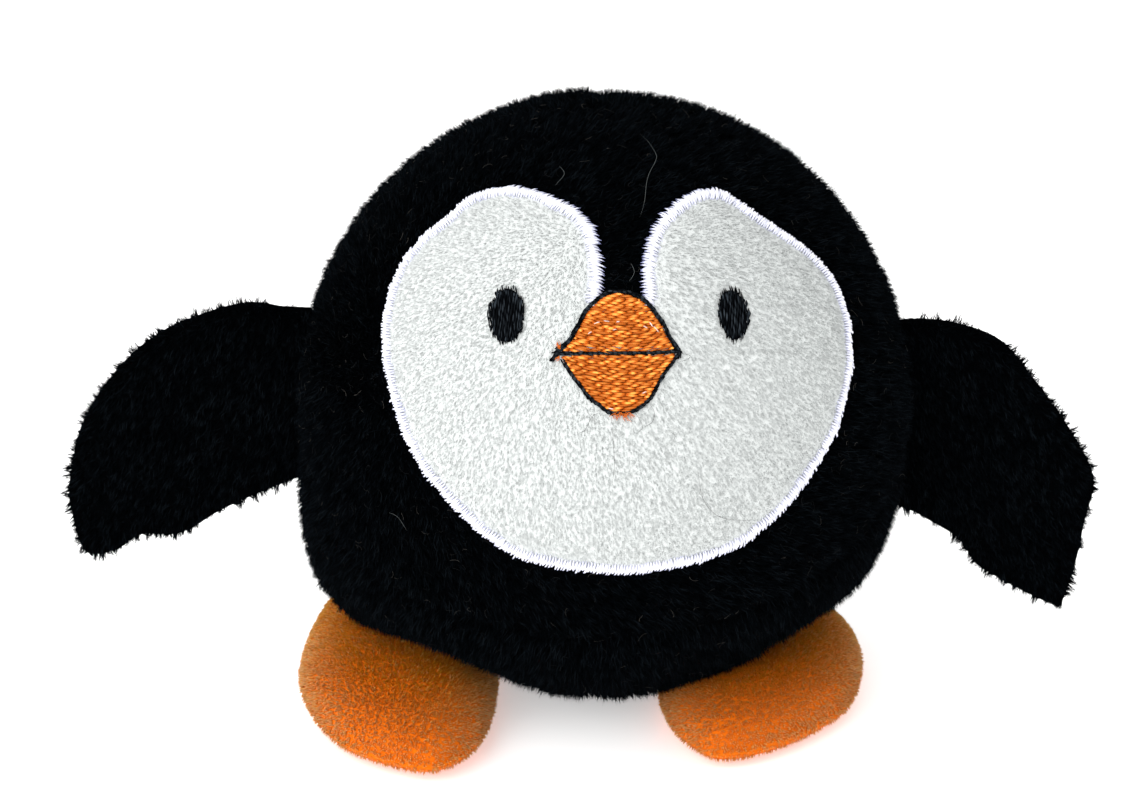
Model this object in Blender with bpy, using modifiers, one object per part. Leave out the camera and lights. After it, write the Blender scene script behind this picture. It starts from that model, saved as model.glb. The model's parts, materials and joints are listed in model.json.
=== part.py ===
"""A small ball-shaped plush penguin, built from its sewn panels, fillings and embroidery.

Metres, +Z up, the penguin faces -Y. Left and right are the penguin's own, so its left is at +X.
The origin is the middle of the flat patch that the ball rests on.
"""

import math

import bmesh
import bpy
from mathutils import Matrix, Vector

MM = 0.001
GAP = 0.3 * MM

# Ball: half a sphere above its widest line, a fuller superellipse below it, flat where it rests.
BALL_RADIUS = 55 * MM
BALL_HEIGHT = 55 * MM
FULLNESS = 2.35
FLAT_RADIUS = 14 * MM
SEGMENTS = 32
RINGS = 8
FABRIC = 2 * MM
CENTRE = Vector((0, 0, BALL_HEIGHT))

# Seams of the ball.
CENTRE_SEAM_X = -2 * MM
LOWER_SEAM_ANGLE = math.radians(-30)
BASE_PANEL_RADIUS = 22 * MM

# Fillings.
BACKING_DEPTH = FABRIC + GAP
BACKING_THICKNESS = 0.4 * MM
STUFFING_DEPTH = BACKING_DEPTH + BACKING_THICKNESS + GAP
POUCH_SIZE = Vector((30 * MM, 30 * MM, 9 * MM))
POUCH_HEIGHT = 12 * MM

# Embroidery is drawn on a flat pattern in mm, which wraps round the ball about this axis.
FACE_TILT = math.radians(20)
FACE_TURN = math.radians(3)
APPLIQUE_THICKNESS = 1 * MM
BORDER_THICKNESS = 1.2 * MM
BORDER_WIDTH = 2.6
STITCH_THICKNESS = 0.5 * MM
OUTLINE_WIDTH = 0.9
BACKING_OVAL = ((2.5, 4.5), (49.5, 40))
FACE_OUTLINE = (
    (-1.8, 16), (-1.3, 21), (-3.5, 31), (-9.5, 38), (-18.5, 41.8), (-26.5, 40.8),
    (-32, 35.5), (-40.5, 29.5), (-44.3, 19), (-43.5, 6), (-38.2, -9), (-30.5, -19),
    (-20.5, -28), (-9.5, -31.7), (3, -32.4), (15, -30.6), (25.5, -27.5), (37, -18),
    (45, -5.5), (49.3, 9), (48.8, 18.5), (43.5, 27), (34, 32.3), (28.5, 37.8),
    (21.5, 40.3), (14, 37.7), (7.3, 30.5), (4.5, 22), (4.2, 16),
)
UPPER_BEAK = ((-9.4, 7.8), (-6.4, 11.7), (-2.8, 16.2), (0.5, 17.3), (4.4, 15.8), (8, 11), (10, 7.8))
LOWER_BEAK = ((9.4, 6.9), (6.8, 3), (4, -0.7), (0.5, -2.2), (-2.7, -1), (-5.8, 2.6), (-8.6, 6.9))
EYES = {"right": ((-18.7, 14.8), (3.2, 5.4)), "left": ((20.7, 13.7), (3.1, 4.9))}

# Wings: two flat layers each, hinged on the seam at the side of the ball.
WING_Y = -5 * MM
WING_LAYER = 1.8 * MM
WING_HINGE_X = 57.2
WING_OUTLINES = {
    "right": (
        (-57.6, 73.6), (-64, 74.6), (-73, 72.6), (-82.5, 69), (-91.5, 61), (-96, 51.5),
        (-98.6, 40.5), (-98, 34), (-95, 26.2), (-89.5, 26.2), (-85, 29), (-77.5, 29.4),
        (-69, 34.4), (-57.6, 39.6),
    ),
    "left": (
        (57.6, 72.7), (64.5, 71.8), (72.8, 68.4), (79.6, 60.5), (86.4, 50.2), (91.6, 40.5),
        (89.4, 32), (88.6, 24), (86, 15.2), (82, 15.4), (75, 19.2), (69, 23.6),
        (65.5, 28.6), (57.6, 33.6),
    ),
}

# Feet: flat oval pads that lie toe-in under the front of the ball.
FOOT_HEIGHT = 12 * MM
FOOT_FABRIC = 1.4 * MM
FOOT_ROUNDNESS = 2.6
FOOT_SEAM_HEIGHT = 5 * MM
FEET = {
    "right": {"centre": (-36.3, -14), "half_width": 18, "half_length": 32, "toe_in": 8},
    "left": {"centre": (29, -9.5), "half_width": 16.5, "half_length": 30, "toe_in": -18},
}

# Back: closing stitch on the centre seam, and a blank label sewn into it lower down.
STITCH_RADIUS = 0.25 * MM
STITCH_FROM_TO = (math.radians(28), math.radians(-2))
STITCH_COUNT = 12
STITCH_SWAY = 0.8 * MM
LABEL_SIZE = Vector((18 * MM, 0.6 * MM, 14 * MM))
LABEL_BOTTOM = 24 * MM
LABEL_ANGLE = math.radians(12)

COLOURS = {
    "black_plush": ((0.012, 0.012, 0.016), 0.9),
    "white_plush": ((0.80, 0.83, 0.81), 0.9),
    "white_thread": ((0.84, 0.84, 0.92), 0.4),
    "black_thread": ((0.02, 0.02, 0.025), 0.4),
    "orange_thread": ((0.83, 0.35, 0.06), 0.4),
    "orange_velour": ((0.62, 0.19, 0.02), 0.85),
    "polyester_fill": ((0.85, 0.85, 0.83), 0.95),
    "pellet_cloth": ((0.70, 0.70, 0.68), 0.8),
    "backing_fleece": ((0.82, 0.82, 0.82), 0.85),
    "label_satin": ((0.86, 0.86, 0.86), 0.5),
}


def clear_scene():
    for old in list(bpy.data.objects):
        bpy.data.objects.remove(old, do_unlink=True)


def new_collection(name):
    made = bpy.data.collections.new(name)
    bpy.context.scene.collection.children.link(made)
    return made


def make_materials():
    made = {}
    for name, (colour, roughness) in COLOURS.items():
        material = bpy.data.materials.new(name)
        material.use_nodes = True
        shader = material.node_tree.nodes["Principled BSDF"]
        shader.inputs["Base Color"].default_value = (*colour, 1)
        shader.inputs["Roughness"].default_value = roughness
        shader.inputs["Metallic"].default_value = 0
        made[name] = material
    return made


clear_scene()
penguin = new_collection("plush_penguin")
cutters = new_collection("cutters")
materials = make_materials()


# ---------------------------------------------------------------- helpers

def add_object(name, data, material=None):
    """A node in the penguin's collection, or a hidden cutter if it has no material."""
    made = bpy.data.objects.new(name, data)
    if material is None:
        cutters.objects.link(made)
        made.hide_render = True
        made.display_type = "WIRE"
        return made
    penguin.objects.link(made)
    if data is not None:
        data.materials.append(materials[material])
    return made


def ball_profile(depth):
    """Half outline (radius, height) of the ball at a depth under its surface, from top to bottom."""
    radius = BALL_RADIUS - depth
    drop = BALL_HEIGHT - depth
    flat = FLAT_RADIUS - depth / 2
    lower_axis = drop / (1 - (flat / radius) ** FULLNESS) ** (1 / FULLNESS)
    points = []
    for step in range(RINGS + 1):
        angle = math.pi / 2 * (1 - step / RINGS)
        points.append((radius * math.cos(angle), BALL_HEIGHT + radius * math.sin(angle)))
    last_angle = math.asin((drop / lower_axis) ** (FULLNESS / 2))
    for step in range(1, RINGS + 1):
        angle = last_angle * step / RINGS
        across = radius * math.cos(angle) ** (2 / FULLNESS)
        down = lower_axis * math.sin(angle) ** (2 / FULLNESS)
        points.append((across, BALL_HEIGHT - down))
    points.append((0, BALL_HEIGHT - drop))
    return points


def ball_radius_at(height):
    """Radius of the ball's outside at a height below its widest line."""
    drop_axis = BALL_HEIGHT / (1 - (FLAT_RADIUS / BALL_RADIUS) ** FULLNESS) ** (1 / FULLNESS)
    share = (BALL_HEIGHT - height) / drop_axis
    return BALL_RADIUS * (1 - share ** FULLNESS) ** (1 / FULLNESS)


def ball(name, depth, material=None):
    """The turned solid of the ball, at a depth under its surface."""
    mesh = bpy.data.meshes.new(name)
    outline = ball_profile(depth)
    edges = [(step, step + 1) for step in range(len(outline) - 1)]
    half_step = math.pi / SEGMENTS
    points = [(r * math.cos(half_step), r * math.sin(half_step), z) for r, z in outline]
    mesh.from_pydata(points, edges, [])
    made = add_object(name, mesh, material)
    turn = made.modifiers.new("turn", "SCREW")
    turn.axis = "Z"
    turn.angle = math.tau
    turn.steps = SEGMENTS
    turn.render_steps = SEGMENTS
    turn.use_merge_vertices = True
    turn.merge_threshold = 0.00001
    turn.use_smooth_shade = True
    return made


def boolean(made, operation, cutter):
    cut = made.modifiers.new(cutter.name, "BOOLEAN")
    cut.operation = operation
    cut.solver = "EXACT"
    cut.object = cutter
    return made


def smooth_line(points, steps):
    """A Catmull-Rom curve through the points, which its two ends also reach."""
    ends = [points[0], *points, points[-1]]
    line = []
    for before, start, end, after in zip(ends, ends[1:], ends[2:], ends[3:]):
        for step in range(steps):
            t = step / steps
            line.append(tuple(
                0.5 * (2 * b + (c - a) * t + (2 * a - 5 * b + 4 * c - d) * t * t
                       + (3 * b - a - 3 * c + d) * t ** 3)
                for a, b, c, d in zip(before, start, end, after)
            ))
    line.append(points[-1])
    return line


def oval(middle, half_sizes, steps=24):
    return [
        (middle[0] + half_sizes[0] * math.cos(math.tau * step / steps),
         middle[1] + half_sizes[1] * math.sin(math.tau * step / steps))
        for step in range(steps)
    ]


def grown(loop, distance):
    """The closed loop moved outwards by a distance, or inwards by a negative one."""
    area = sum(a[0] * b[1] - b[0] * a[1] for a, b in zip(loop, loop[1:] + loop[:1]))
    side = math.copysign(1, area)
    moved = []
    for before, here, after in zip(loop[-1:] + loop[:-1], loop, loop[1:] + loop[:1]):
        first = Vector((here[1] - before[1], before[0] - here[0])).normalized() * side
        second = Vector((after[1] - here[1], here[0] - after[0])).normalized() * side
        bisector = (first + second).normalized()
        reach = distance / max(bisector.dot(first), 0.7)
        moved.append((here[0] + bisector.x * reach, here[1] + bisector.y * reach))
    return moved


def plate_curve(name, loop, half_thickness):
    """A closed flat outline as a filled 2D curve with a thickness."""
    curve = bpy.data.curves.new(name, "CURVE")
    curve.dimensions = "2D"
    curve.fill_mode = "BOTH"
    curve.extrude = half_thickness
    spline = curve.splines.new("POLY")
    spline.points.add(len(loop) - 1)
    for point, (x, y) in zip(spline.points, loop):
        point.co = (x, y, 0, 1)
    spline.use_cyclic_u = True
    return curve


def welded_mesh(made):
    """Replaces a curve object by its mesh, with the loose caps welded on."""
    bpy.context.view_layer.update()
    graph = bpy.context.evaluated_depsgraph_get()
    mesh = bpy.data.meshes.new_from_object(made.evaluated_get(graph))
    body = bmesh.new()
    body.from_mesh(mesh)
    bmesh.ops.remove_doubles(body, verts=body.verts, dist=0.000001)
    bmesh.ops.recalc_face_normals(body, faces=body.faces)
    body.to_mesh(mesh)
    body.free()
    name = made.name
    solid = bpy.data.objects.new(name, mesh)
    solid.matrix_world = made.matrix_world
    bpy.data.objects.remove(made)
    solid.name = name
    cutters.objects.link(solid)
    solid.hide_render = True
    solid.display_type = "WIRE"
    return solid


def box(name, low, high, material=None):
    mesh = bpy.data.meshes.new(name)
    body = bmesh.new()
    bmesh.ops.create_cube(body, size=1)
    size = Vector(high) - Vector(low)
    middle = (Vector(high) + Vector(low)) / 2
    bmesh.ops.scale(body, vec=size, verts=body.verts)
    bmesh.ops.translate(body, vec=middle, verts=body.verts)
    body.to_mesh(mesh)
    body.free()
    return add_object(name, mesh, material)


def cylinder(name, radius, low, high):
    mesh = bpy.data.meshes.new(name)
    body = bmesh.new()
    bmesh.ops.create_cone(
        body, cap_ends=True, segments=SEGMENTS, radius1=radius, radius2=radius, depth=high - low
    )
    bmesh.ops.translate(body, vec=(0, 0, (low + high) / 2), verts=body.verts)
    body.to_mesh(mesh)
    body.free()
    return add_object(name, mesh)


def rounded_pad(name, half_sizes, roundness, material=None, segments=20, rings=10):
    """A pad about its own middle: a ball whose section is a superellipse of that exponent."""
    mesh = bpy.data.meshes.new(name)
    body = bmesh.new()
    bmesh.ops.create_uvsphere(body, u_segments=segments, v_segments=rings, radius=1)
    for vert in body.verts:
        across = math.hypot(vert.co.x, vert.co.y)
        rise = math.atan2(vert.co.z, across)
        width = max(math.cos(rise), 0) ** (2 / roundness)
        height = math.copysign(abs(math.sin(rise)) ** (2 / roundness), rise)
        spread = width / across if across > 0.00001 else 0
        vert.co = (
            vert.co.x * spread * half_sizes[0],
            vert.co.y * spread * half_sizes[1],
            height * half_sizes[2],
        )
    body.to_mesh(mesh)
    body.free()
    mesh.shade_smooth()
    return add_object(name, mesh, material)


def empty_at(name, place):
    made = bpy.data.objects.new(name, None)
    penguin.objects.link(made)
    made.location = place
    return made


def hang_on(child, empty):
    """Parents a piece to the empty on its joint's axis, and leaves it where it is."""
    child.parent = empty
    child.location = Vector(child.location) - empty.location


# ---------------------------------------------------------------- ball panels

def seam_wedge(name, forward):
    """The space in front of the top seam and above the lower seam, moved forward along its middle."""
    reach = 3 * BALL_RADIUS
    middle_angle = (math.pi / 2 + LOWER_SEAM_ANGLE) / 2
    apex = Vector((-forward * math.cos(middle_angle), forward * math.sin(middle_angle)))
    corners = [apex]
    for share in (0, 0.5, 1):
        angle = LOWER_SEAM_ANGLE + (math.pi / 2 - LOWER_SEAM_ANGLE) * share
        corners.append(apex + reach * Vector((-math.cos(angle), math.sin(angle))))
    curve = plate_curve(name, [tuple(corner) for corner in corners], reach)
    made = bpy.data.objects.new(name, curve)
    cutters.objects.link(made)
    made.matrix_world = Matrix.Translation(CENTRE) @ Matrix(
        ((0, 0, 1, 0), (1, 0, 0, 0), (0, 1, 0, 0), (0, 0, 0, 1))
    )
    return welded_mesh(made)


def make_ball_panels():
    inside = ball("ball_inside", FABRIC)
    far = 3 * BALL_RADIUS
    front_space = seam_wedge("front_space", GAP * 0.6)
    front_room = seam_wedge("front_room", -GAP * 0.6)
    base_space = cylinder("base_space", BASE_PANEL_RADIUS, -FABRIC, BALL_HEIGHT / 2)
    base_room = cylinder("base_room", BASE_PANEL_RADIUS + GAP, -FABRIC, BALL_HEIGHT / 2)
    sides = {
        "right": box("right_half", (-far, -far, -far), (CENTRE_SEAM_X - GAP / 2, far, far)),
        "left": box("left_half", (CENTRE_SEAM_X + GAP / 2, -far, -far), (far, far, far)),
    }

    front = ball("body_front_panel", 0, "black_plush")
    boolean(front, "DIFFERENCE", inside)
    boolean(front, "INTERSECT", front_space)

    for side, half in sides.items():
        panel = ball(f"body_{side}_panel", 0, "black_plush")
        boolean(panel, "DIFFERENCE", inside)
        boolean(panel, "DIFFERENCE", front_room)
        boolean(panel, "DIFFERENCE", base_room)
        boolean(panel, "INTERSECT", half)

    base = ball("body_base_panel", 0, "black_plush")
    boolean(base, "DIFFERENCE", inside)
    boolean(base, "INTERSECT", base_space)


def make_fillings():
    pouch_place = (0, 0, POUCH_HEIGHT)
    pouch = rounded_pad("pellet_pouch", POUCH_SIZE, 2, "pellet_cloth")
    pouch.location = pouch_place
    boolean(pouch, "INTERSECT", ball("pouch_limit", FABRIC + GAP))
    pouch_room = rounded_pad("pouch_room", POUCH_SIZE + Vector((GAP, GAP, GAP)) * 1.5, 2)
    pouch_room.location = pouch_place
    stuffing = ball("body_stuffing", STUFFING_DEPTH, "polyester_fill")
    boolean(stuffing, "DIFFERENCE", pouch_room)


# ---------------------------------------------------------------- face

def wrapped(loop):
    """Flat pattern points in mm, moved to where they are seen along the face's axis, in metres."""
    moved = []
    for x, y in loop:
        distance = math.hypot(x, y) * MM
        seen = BALL_RADIUS * math.sin(distance / BALL_RADIUS)
        scale = seen / distance if distance > 0 else 1
        moved.append((x * MM * scale, y * MM * scale))
    return moved


def face_frame():
    across = Vector((math.cos(FACE_TURN), math.sin(FACE_TURN), 0))
    out = Vector((
        math.sin(FACE_TURN) * math.cos(FACE_TILT),
        -math.cos(FACE_TURN) * math.cos(FACE_TILT),
        math.sin(FACE_TILT),
    ))
    up = out.cross(across)
    axes = Matrix((across, up, out)).transposed().to_4x4()
    return Matrix.Translation(CENTRE + out * BALL_RADIUS) @ axes


def face_prism(name, loop):
    """A cutter through the front of the ball with the pattern's outline."""
    made = bpy.data.objects.new(name, plate_curve(name, wrapped(loop), BALL_RADIUS * 0.9))
    cutters.objects.link(made)
    made.matrix_world = face_frame()
    return welded_mesh(made)


def face_layer(name, material, bottom, thickness, prism, holes=()):
    """A layer of even thickness, that high over the ball's surface, inside the prism."""
    made = ball(name, -(bottom + thickness), material)
    boolean(made, "DIFFERENCE", ball(name + "_under", -bottom))
    boolean(made, "INTERSECT", prism)
    for hole in holes:
        boolean(made, "DIFFERENCE", hole)
    return made


def make_face():
    outline = smooth_line(FACE_OUTLINE, 2)
    border_inside = grown(outline, -BORDER_WIDTH)
    applique_edge = grown(outline, -BORDER_WIDTH - GAP / MM)
    face_layer(
        "face_satin_border", "white_thread", GAP, BORDER_THICKNESS,
        face_prism("border_outside", outline), [face_prism("border_inside", border_inside)],
    )
    face_layer(
        "face_applique", "white_plush", GAP, APPLIQUE_THICKNESS,
        face_prism("applique_edge", applique_edge),
    )
    backing_edge = face_prism("backing_edge", oval(*BACKING_OVAL))
    backing = ball("embroidery_backing", BACKING_DEPTH, "backing_fleece")
    boolean(backing, "DIFFERENCE", ball("backing_under", BACKING_DEPTH + BACKING_THICKNESS))
    boolean(backing, "INTERSECT", backing_edge)

    eye_height = 2 * GAP + APPLIQUE_THICKNESS
    for side, (middle, half_sizes) in EYES.items():
        name = f"{side}_eye_embroidery"
        face_layer(
            name, "black_thread", eye_height, STITCH_THICKNESS,
            face_prism(name + "_edge", oval(middle, half_sizes)),
        )

    beak_height = 2 * GAP + BORDER_THICKNESS
    upper = smooth_line(UPPER_BEAK, 3)
    lower = smooth_line(LOWER_BEAK, 3)
    face_layer(
        "beak_upper", "orange_thread", beak_height, STITCH_THICKNESS,
        face_prism("upper_edge", upper),
    )
    face_layer(
        "beak_lower", "orange_thread", beak_height, STITCH_THICKNESS,
        face_prism("lower_edge", lower),
    )
    upper_room = face_prism("upper_room", grown(upper, GAP / MM))
    lower_room = face_prism("lower_room", grown(lower, GAP / MM))
    whole = grown(upper[1:-1] + lower[1:-1], OUTLINE_WIDTH + GAP / MM)
    face_layer(
        "beak_outline_stitch", "black_thread", beak_height, STITCH_THICKNESS,
        face_prism("outline_outside", whole), [upper_room, lower_room],
    )


# ---------------------------------------------------------------- wings

def make_wing(side):
    outline = [(x * MM, z * MM) for x, z in smooth_line(WING_OUTLINES[side], 2)]
    hinge_x = math.copysign(WING_HINGE_X * MM, outline[0][0])
    hinge = empty_at(f"{side}_wing_hinge", (hinge_x, WING_Y, BALL_HEIGHT))
    upright = Matrix.Rotation(math.pi / 2, 4, "X").to_euler()
    for layer, direction in (("front", -1), ("back", 1)):
        name = f"{side}_wing_{layer}_panel"
        panel = add_object(name, plate_curve(name, outline, WING_LAYER / 2), "black_plush")
        panel.rotation_euler = upright
        panel.location = (0, WING_Y + direction * (WING_LAYER + GAP) / 2, 0)
        hang_on(panel, hinge)


# ---------------------------------------------------------------- feet

def foot_pad(name, foot, inset, material=None):
    half_sizes = (
        foot["half_width"] * MM - inset,
        foot["half_length"] * MM - inset,
        FOOT_HEIGHT / 2 - inset,
    )
    pad = rounded_pad(name, half_sizes, FOOT_ROUNDNESS, material)
    pad.location = (foot["centre"][0] * MM, foot["centre"][1] * MM, FOOT_HEIGHT / 2)
    pad.rotation_euler = (0, 0, math.radians(foot["toe_in"]))
    return pad


def make_foot(side):
    foot = FEET[side]
    back = foot["half_length"] * MM
    turn = math.radians(foot["toe_in"])
    hinge = empty_at(f"{side}_foot_hinge", (
        foot["centre"][0] * MM - back * math.sin(turn),
        foot["centre"][1] * MM + back * math.cos(turn),
        FOOT_HEIGHT / 2,
    ))
    under_ball = ball(f"{side}_foot_ball_room", -GAP)
    lining_room = ball(f"{side}_foot_lining_room", -GAP - FOOT_FABRIC)
    filling_room = ball(f"{side}_foot_filling_room", -2 * GAP - FOOT_FABRIC)
    hollow = foot_pad(f"{side}_foot_hollow", foot, FOOT_FABRIC)
    boolean(hollow, "DIFFERENCE", lining_room)

    far = 3 * BALL_RADIUS
    halves = {
        "top_panel": box(
            f"{side}_foot_above", (-far, -far, FOOT_SEAM_HEIGHT + GAP / 2), (far, far, far)
        ),
        "sole": box(
            f"{side}_foot_below", (-far, -far, -far), (far, far, FOOT_SEAM_HEIGHT - GAP / 2)
        ),
    }
    for part, half in halves.items():
        skin = foot_pad(f"{side}_foot_{part}", foot, 0, "orange_velour")
        boolean(skin, "DIFFERENCE", under_ball)
        boolean(skin, "DIFFERENCE", hollow)
        boolean(skin, "INTERSECT", half)
        hang_on(skin, hinge)
    filling = foot_pad(f"{side}_foot_stuffing", foot, FOOT_FABRIC + GAP, "polyester_fill")
    boolean(filling, "DIFFERENCE", filling_room)
    hang_on(filling, hinge)


# ---------------------------------------------------------------- back

def make_closing_stitch():
    """A ladder stitch that climbs the centre seam at the back, from side to side."""
    curve = bpy.data.curves.new("closing_stitch", "CURVE")
    curve.dimensions = "3D"
    curve.bevel_depth = STITCH_RADIUS
    curve.bevel_resolution = 1
    curve.use_fill_caps = True
    spline = curve.splines.new("POLY")
    spline.points.add(STITCH_COUNT)
    reach = BALL_RADIUS + GAP + STITCH_RADIUS + 0.2 * MM
    start, end = STITCH_FROM_TO
    for step, point in enumerate(spline.points):
        angle = start + (end - start) * step / STITCH_COUNT
        sway = STITCH_SWAY * (1 if step % 2 else -1)
        point.co = (
            CENTRE_SEAM_X + sway,
            reach * math.cos(angle),
            BALL_HEIGHT + reach * math.sin(angle),
            1,
        )
    add_object("closing_stitch", curve, "black_thread")


def make_care_label():
    """A blank label whose sewn edge stands on the centre seam and which folds to the left."""
    top = LABEL_BOTTOM + LABEL_SIZE.z
    hinge_y = ball_radius_at(top) + 3 * GAP
    hinge = empty_at("care_label_hinge", (CENTRE_SEAM_X, hinge_y, LABEL_BOTTOM))
    label = box(
        "care_label", (GAP, -LABEL_SIZE.y / 2, 0),
        (GAP + LABEL_SIZE.x, LABEL_SIZE.y / 2, LABEL_SIZE.z), "label_satin",
    )
    label.location = hinge.location
    label.rotation_euler = (0, 0, LABEL_ANGLE)
    hang_on(label, hinge)


make_ball_panels()
make_fillings()
make_face()
for wing_side in WING_OUTLINES:
    make_wing(wing_side)
for foot_side in FEET:
    make_foot(foot_side)
make_closing_stitch()
make_care_label()
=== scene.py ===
"""The finish of a small ball-shaped plush penguin, laid over its packed panels.

Metres, +Z up. The penguin faces -Y, and left and right are its own, so its left is at +X.
"""

import json
import math

import bmesh
import bpy
import numpy as np
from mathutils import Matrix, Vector, geometry


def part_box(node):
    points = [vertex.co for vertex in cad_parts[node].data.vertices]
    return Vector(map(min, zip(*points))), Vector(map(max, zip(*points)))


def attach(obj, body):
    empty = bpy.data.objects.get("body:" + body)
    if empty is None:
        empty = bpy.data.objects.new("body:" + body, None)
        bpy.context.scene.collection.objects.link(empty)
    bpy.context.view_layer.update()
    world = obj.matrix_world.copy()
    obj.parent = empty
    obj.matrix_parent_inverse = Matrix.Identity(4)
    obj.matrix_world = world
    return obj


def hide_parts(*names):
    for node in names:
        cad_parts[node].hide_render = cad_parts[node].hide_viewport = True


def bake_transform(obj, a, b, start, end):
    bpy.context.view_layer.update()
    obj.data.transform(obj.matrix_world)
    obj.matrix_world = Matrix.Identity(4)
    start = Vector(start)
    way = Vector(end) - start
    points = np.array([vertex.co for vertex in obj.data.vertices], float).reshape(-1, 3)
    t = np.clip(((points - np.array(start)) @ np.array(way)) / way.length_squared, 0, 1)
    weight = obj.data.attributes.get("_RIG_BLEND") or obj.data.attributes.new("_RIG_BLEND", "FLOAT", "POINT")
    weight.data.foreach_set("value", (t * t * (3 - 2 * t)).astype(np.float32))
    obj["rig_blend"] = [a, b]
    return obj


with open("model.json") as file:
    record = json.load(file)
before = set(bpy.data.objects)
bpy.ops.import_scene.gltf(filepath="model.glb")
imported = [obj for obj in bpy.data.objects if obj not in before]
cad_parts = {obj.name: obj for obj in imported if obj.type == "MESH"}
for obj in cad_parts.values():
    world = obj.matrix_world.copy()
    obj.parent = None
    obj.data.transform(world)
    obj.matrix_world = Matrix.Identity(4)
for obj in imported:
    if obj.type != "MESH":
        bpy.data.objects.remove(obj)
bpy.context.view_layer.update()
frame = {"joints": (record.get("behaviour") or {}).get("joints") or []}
scene = bpy.context.scene


# ---------------------------------------------------------------- table, light and viewpoint
# A white table lit a little from below, in a pale room, with one large soft lamp high on the left.
# The lens is long and looks down 20 degrees at the middle of the ball.

MM = 0.001
BALL_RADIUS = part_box("body_left_panel")[1].z / 2
CENTRE = Vector((0, 0, BALL_RADIUS))
VIEW_RISE = math.radians(20)
VIEW_DISTANCE = 527 * MM
VIEW_SLIDE_ACROSS = -5.2 * MM
VIEW_SLIDE_UP = -1.1 * MM
LENS = 89.9
TABLE_HALF_SIZE = 4
TABLE_GLOW = 0.42
ROOM_LIGHT = 0.88

scene.view_settings.view_transform = "Standard"

camera = bpy.data.objects.new("camera", bpy.data.cameras.new("camera"))
camera.data.lens = LENS
camera.data.sensor_width = 36
camera.data.clip_start = 0.02
view_down = Vector((0, math.cos(VIEW_RISE), -math.sin(VIEW_RISE)))
view_up = Vector((0, math.sin(VIEW_RISE), math.cos(VIEW_RISE)))
camera.location = CENTRE - view_down * VIEW_DISTANCE + view_up * VIEW_SLIDE_UP
camera.location.x += VIEW_SLIDE_ACROSS
camera.rotation_euler = (math.pi / 2 - VIEW_RISE, 0, 0)
scene.collection.objects.link(camera)
scene.camera = camera


def add_lamp(name, place, size, power):
    lamp = bpy.data.lights.new(name, "AREA")
    lamp.shape = "DISK"
    lamp.size = size
    lamp.energy = power
    made = bpy.data.objects.new(name, lamp)
    made.location = place
    made.rotation_euler = (CENTRE - Vector(place)).to_track_quat("-Z", "Y").to_euler()
    scene.collection.objects.link(made)


add_lamp("key_lamp", (-0.62, -0.9, 0.8), 1.5, 14.5)
add_lamp("back_lamp", (-0.3, 0.8, 0.8), 0.6, 3)

room = bpy.data.worlds.new("room")
room.use_nodes = True
room.node_tree.nodes["Background"].inputs["Color"].default_value = (1, 1, 1, 1)
room.node_tree.nodes["Background"].inputs["Strength"].default_value = ROOM_LIGHT
scene.world = room


def add_node(tree, kind, settings=None, inputs=None):
    """Adds a node: settings are its properties, and each input is a value or the socket that feeds it."""
    made = tree.nodes.new(kind)
    for name, value in (settings or {}).items():
        setattr(made, name, value)
    for place, value in (inputs or {}).items():
        if isinstance(value, bpy.types.NodeSocket):
            tree.links.new(value, made.inputs[place])
        else:
            made.inputs[place].default_value = value
    return made


def new_material(name, roughness, specular=0.3):
    """A material with plain constants on its shader, and the shader to link patterns to."""
    made = bpy.data.materials.new(name)
    made.use_nodes = True
    shader = made.node_tree.nodes["Principled BSDF"]
    shader.inputs["Roughness"].default_value = roughness
    shader.inputs["Specular IOR Level"].default_value = specular
    return made, made.node_tree, shader


def two_shades(tree, shader, share, dark, light):
    """Colours a shader between two shades, and returns the ramp that mixes them."""
    ramp = add_node(tree, "ShaderNodeValToRGB", inputs={"Fac": share})
    ramp.color_ramp.elements[0].color = (*dark, 1)
    ramp.color_ramp.elements[1].color = (*light, 1)
    tree.links.new(ramp.outputs["Color"], shader.inputs["Base Color"])
    return ramp.color_ramp


table_white, table_tree, table_shader = new_material("white_table", 0.7, 0.1)
table_grain = add_node(table_tree, "ShaderNodeTexNoise", inputs={"Scale": 3.0, "Detail": 2.0})
two_shades(table_tree, table_shader, table_grain.outputs["Fac"], (0.93, 0.93, 0.925), (0.95, 0.95, 0.945))
table_shader.inputs["Emission Color"].default_value = (1, 1, 1, 1)
table_shader.inputs["Emission Strength"].default_value = TABLE_GLOW

table_mesh = bpy.data.meshes.new("table")
half = TABLE_HALF_SIZE
table_corners = [(-half, -half, 0), (half, -half, 0), (half, half, 0), (-half, half, 0)]
table_mesh.from_pydata(table_corners, [], [(0, 1, 2, 3)])
table_mesh.materials.append(table_white)
table = bpy.data.objects.new("table", table_mesh)
scene.collection.objects.link(table)


# ---------------------------------------------------------------- cover of the ball
# Four panels of black plush, sewn edge to edge: one over the face, one down each side and the back,
# and a round base. The cloth dips at each seam, and the lower half is slacker than the upper.

COVER_RADIUS = 54.8 * MM
COVER_BASE = 53.9 * MM
COVER_THICKNESS = 0.9 * MM
FLAT_RADIUS = 13.2 * MM
CENTRE_SEAM_X = -2 * MM
LOWER_SEAM = math.radians(-30)
BASE_RADIUS = 22 * MM
SEAM_DEPTH = 0.8 * MM
TOP_SEAM_DEPTH = 0.15 * MM
SEAM_WIDTH = 1.4 * MM
FOOT_DENTS = (
    # where a foot presses the ball: way round from the front, angle below the middle, spread, depth
    (-66, 52, 0.30, 8.8 * MM), (69, 47, 0.19, 3.5 * MM),
)
BALL_ROWS, BALL_COLUMNS = 96, 180
GLOW_DEPTH = 0.3 * MM
middle = np.array(CENTRE)


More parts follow.
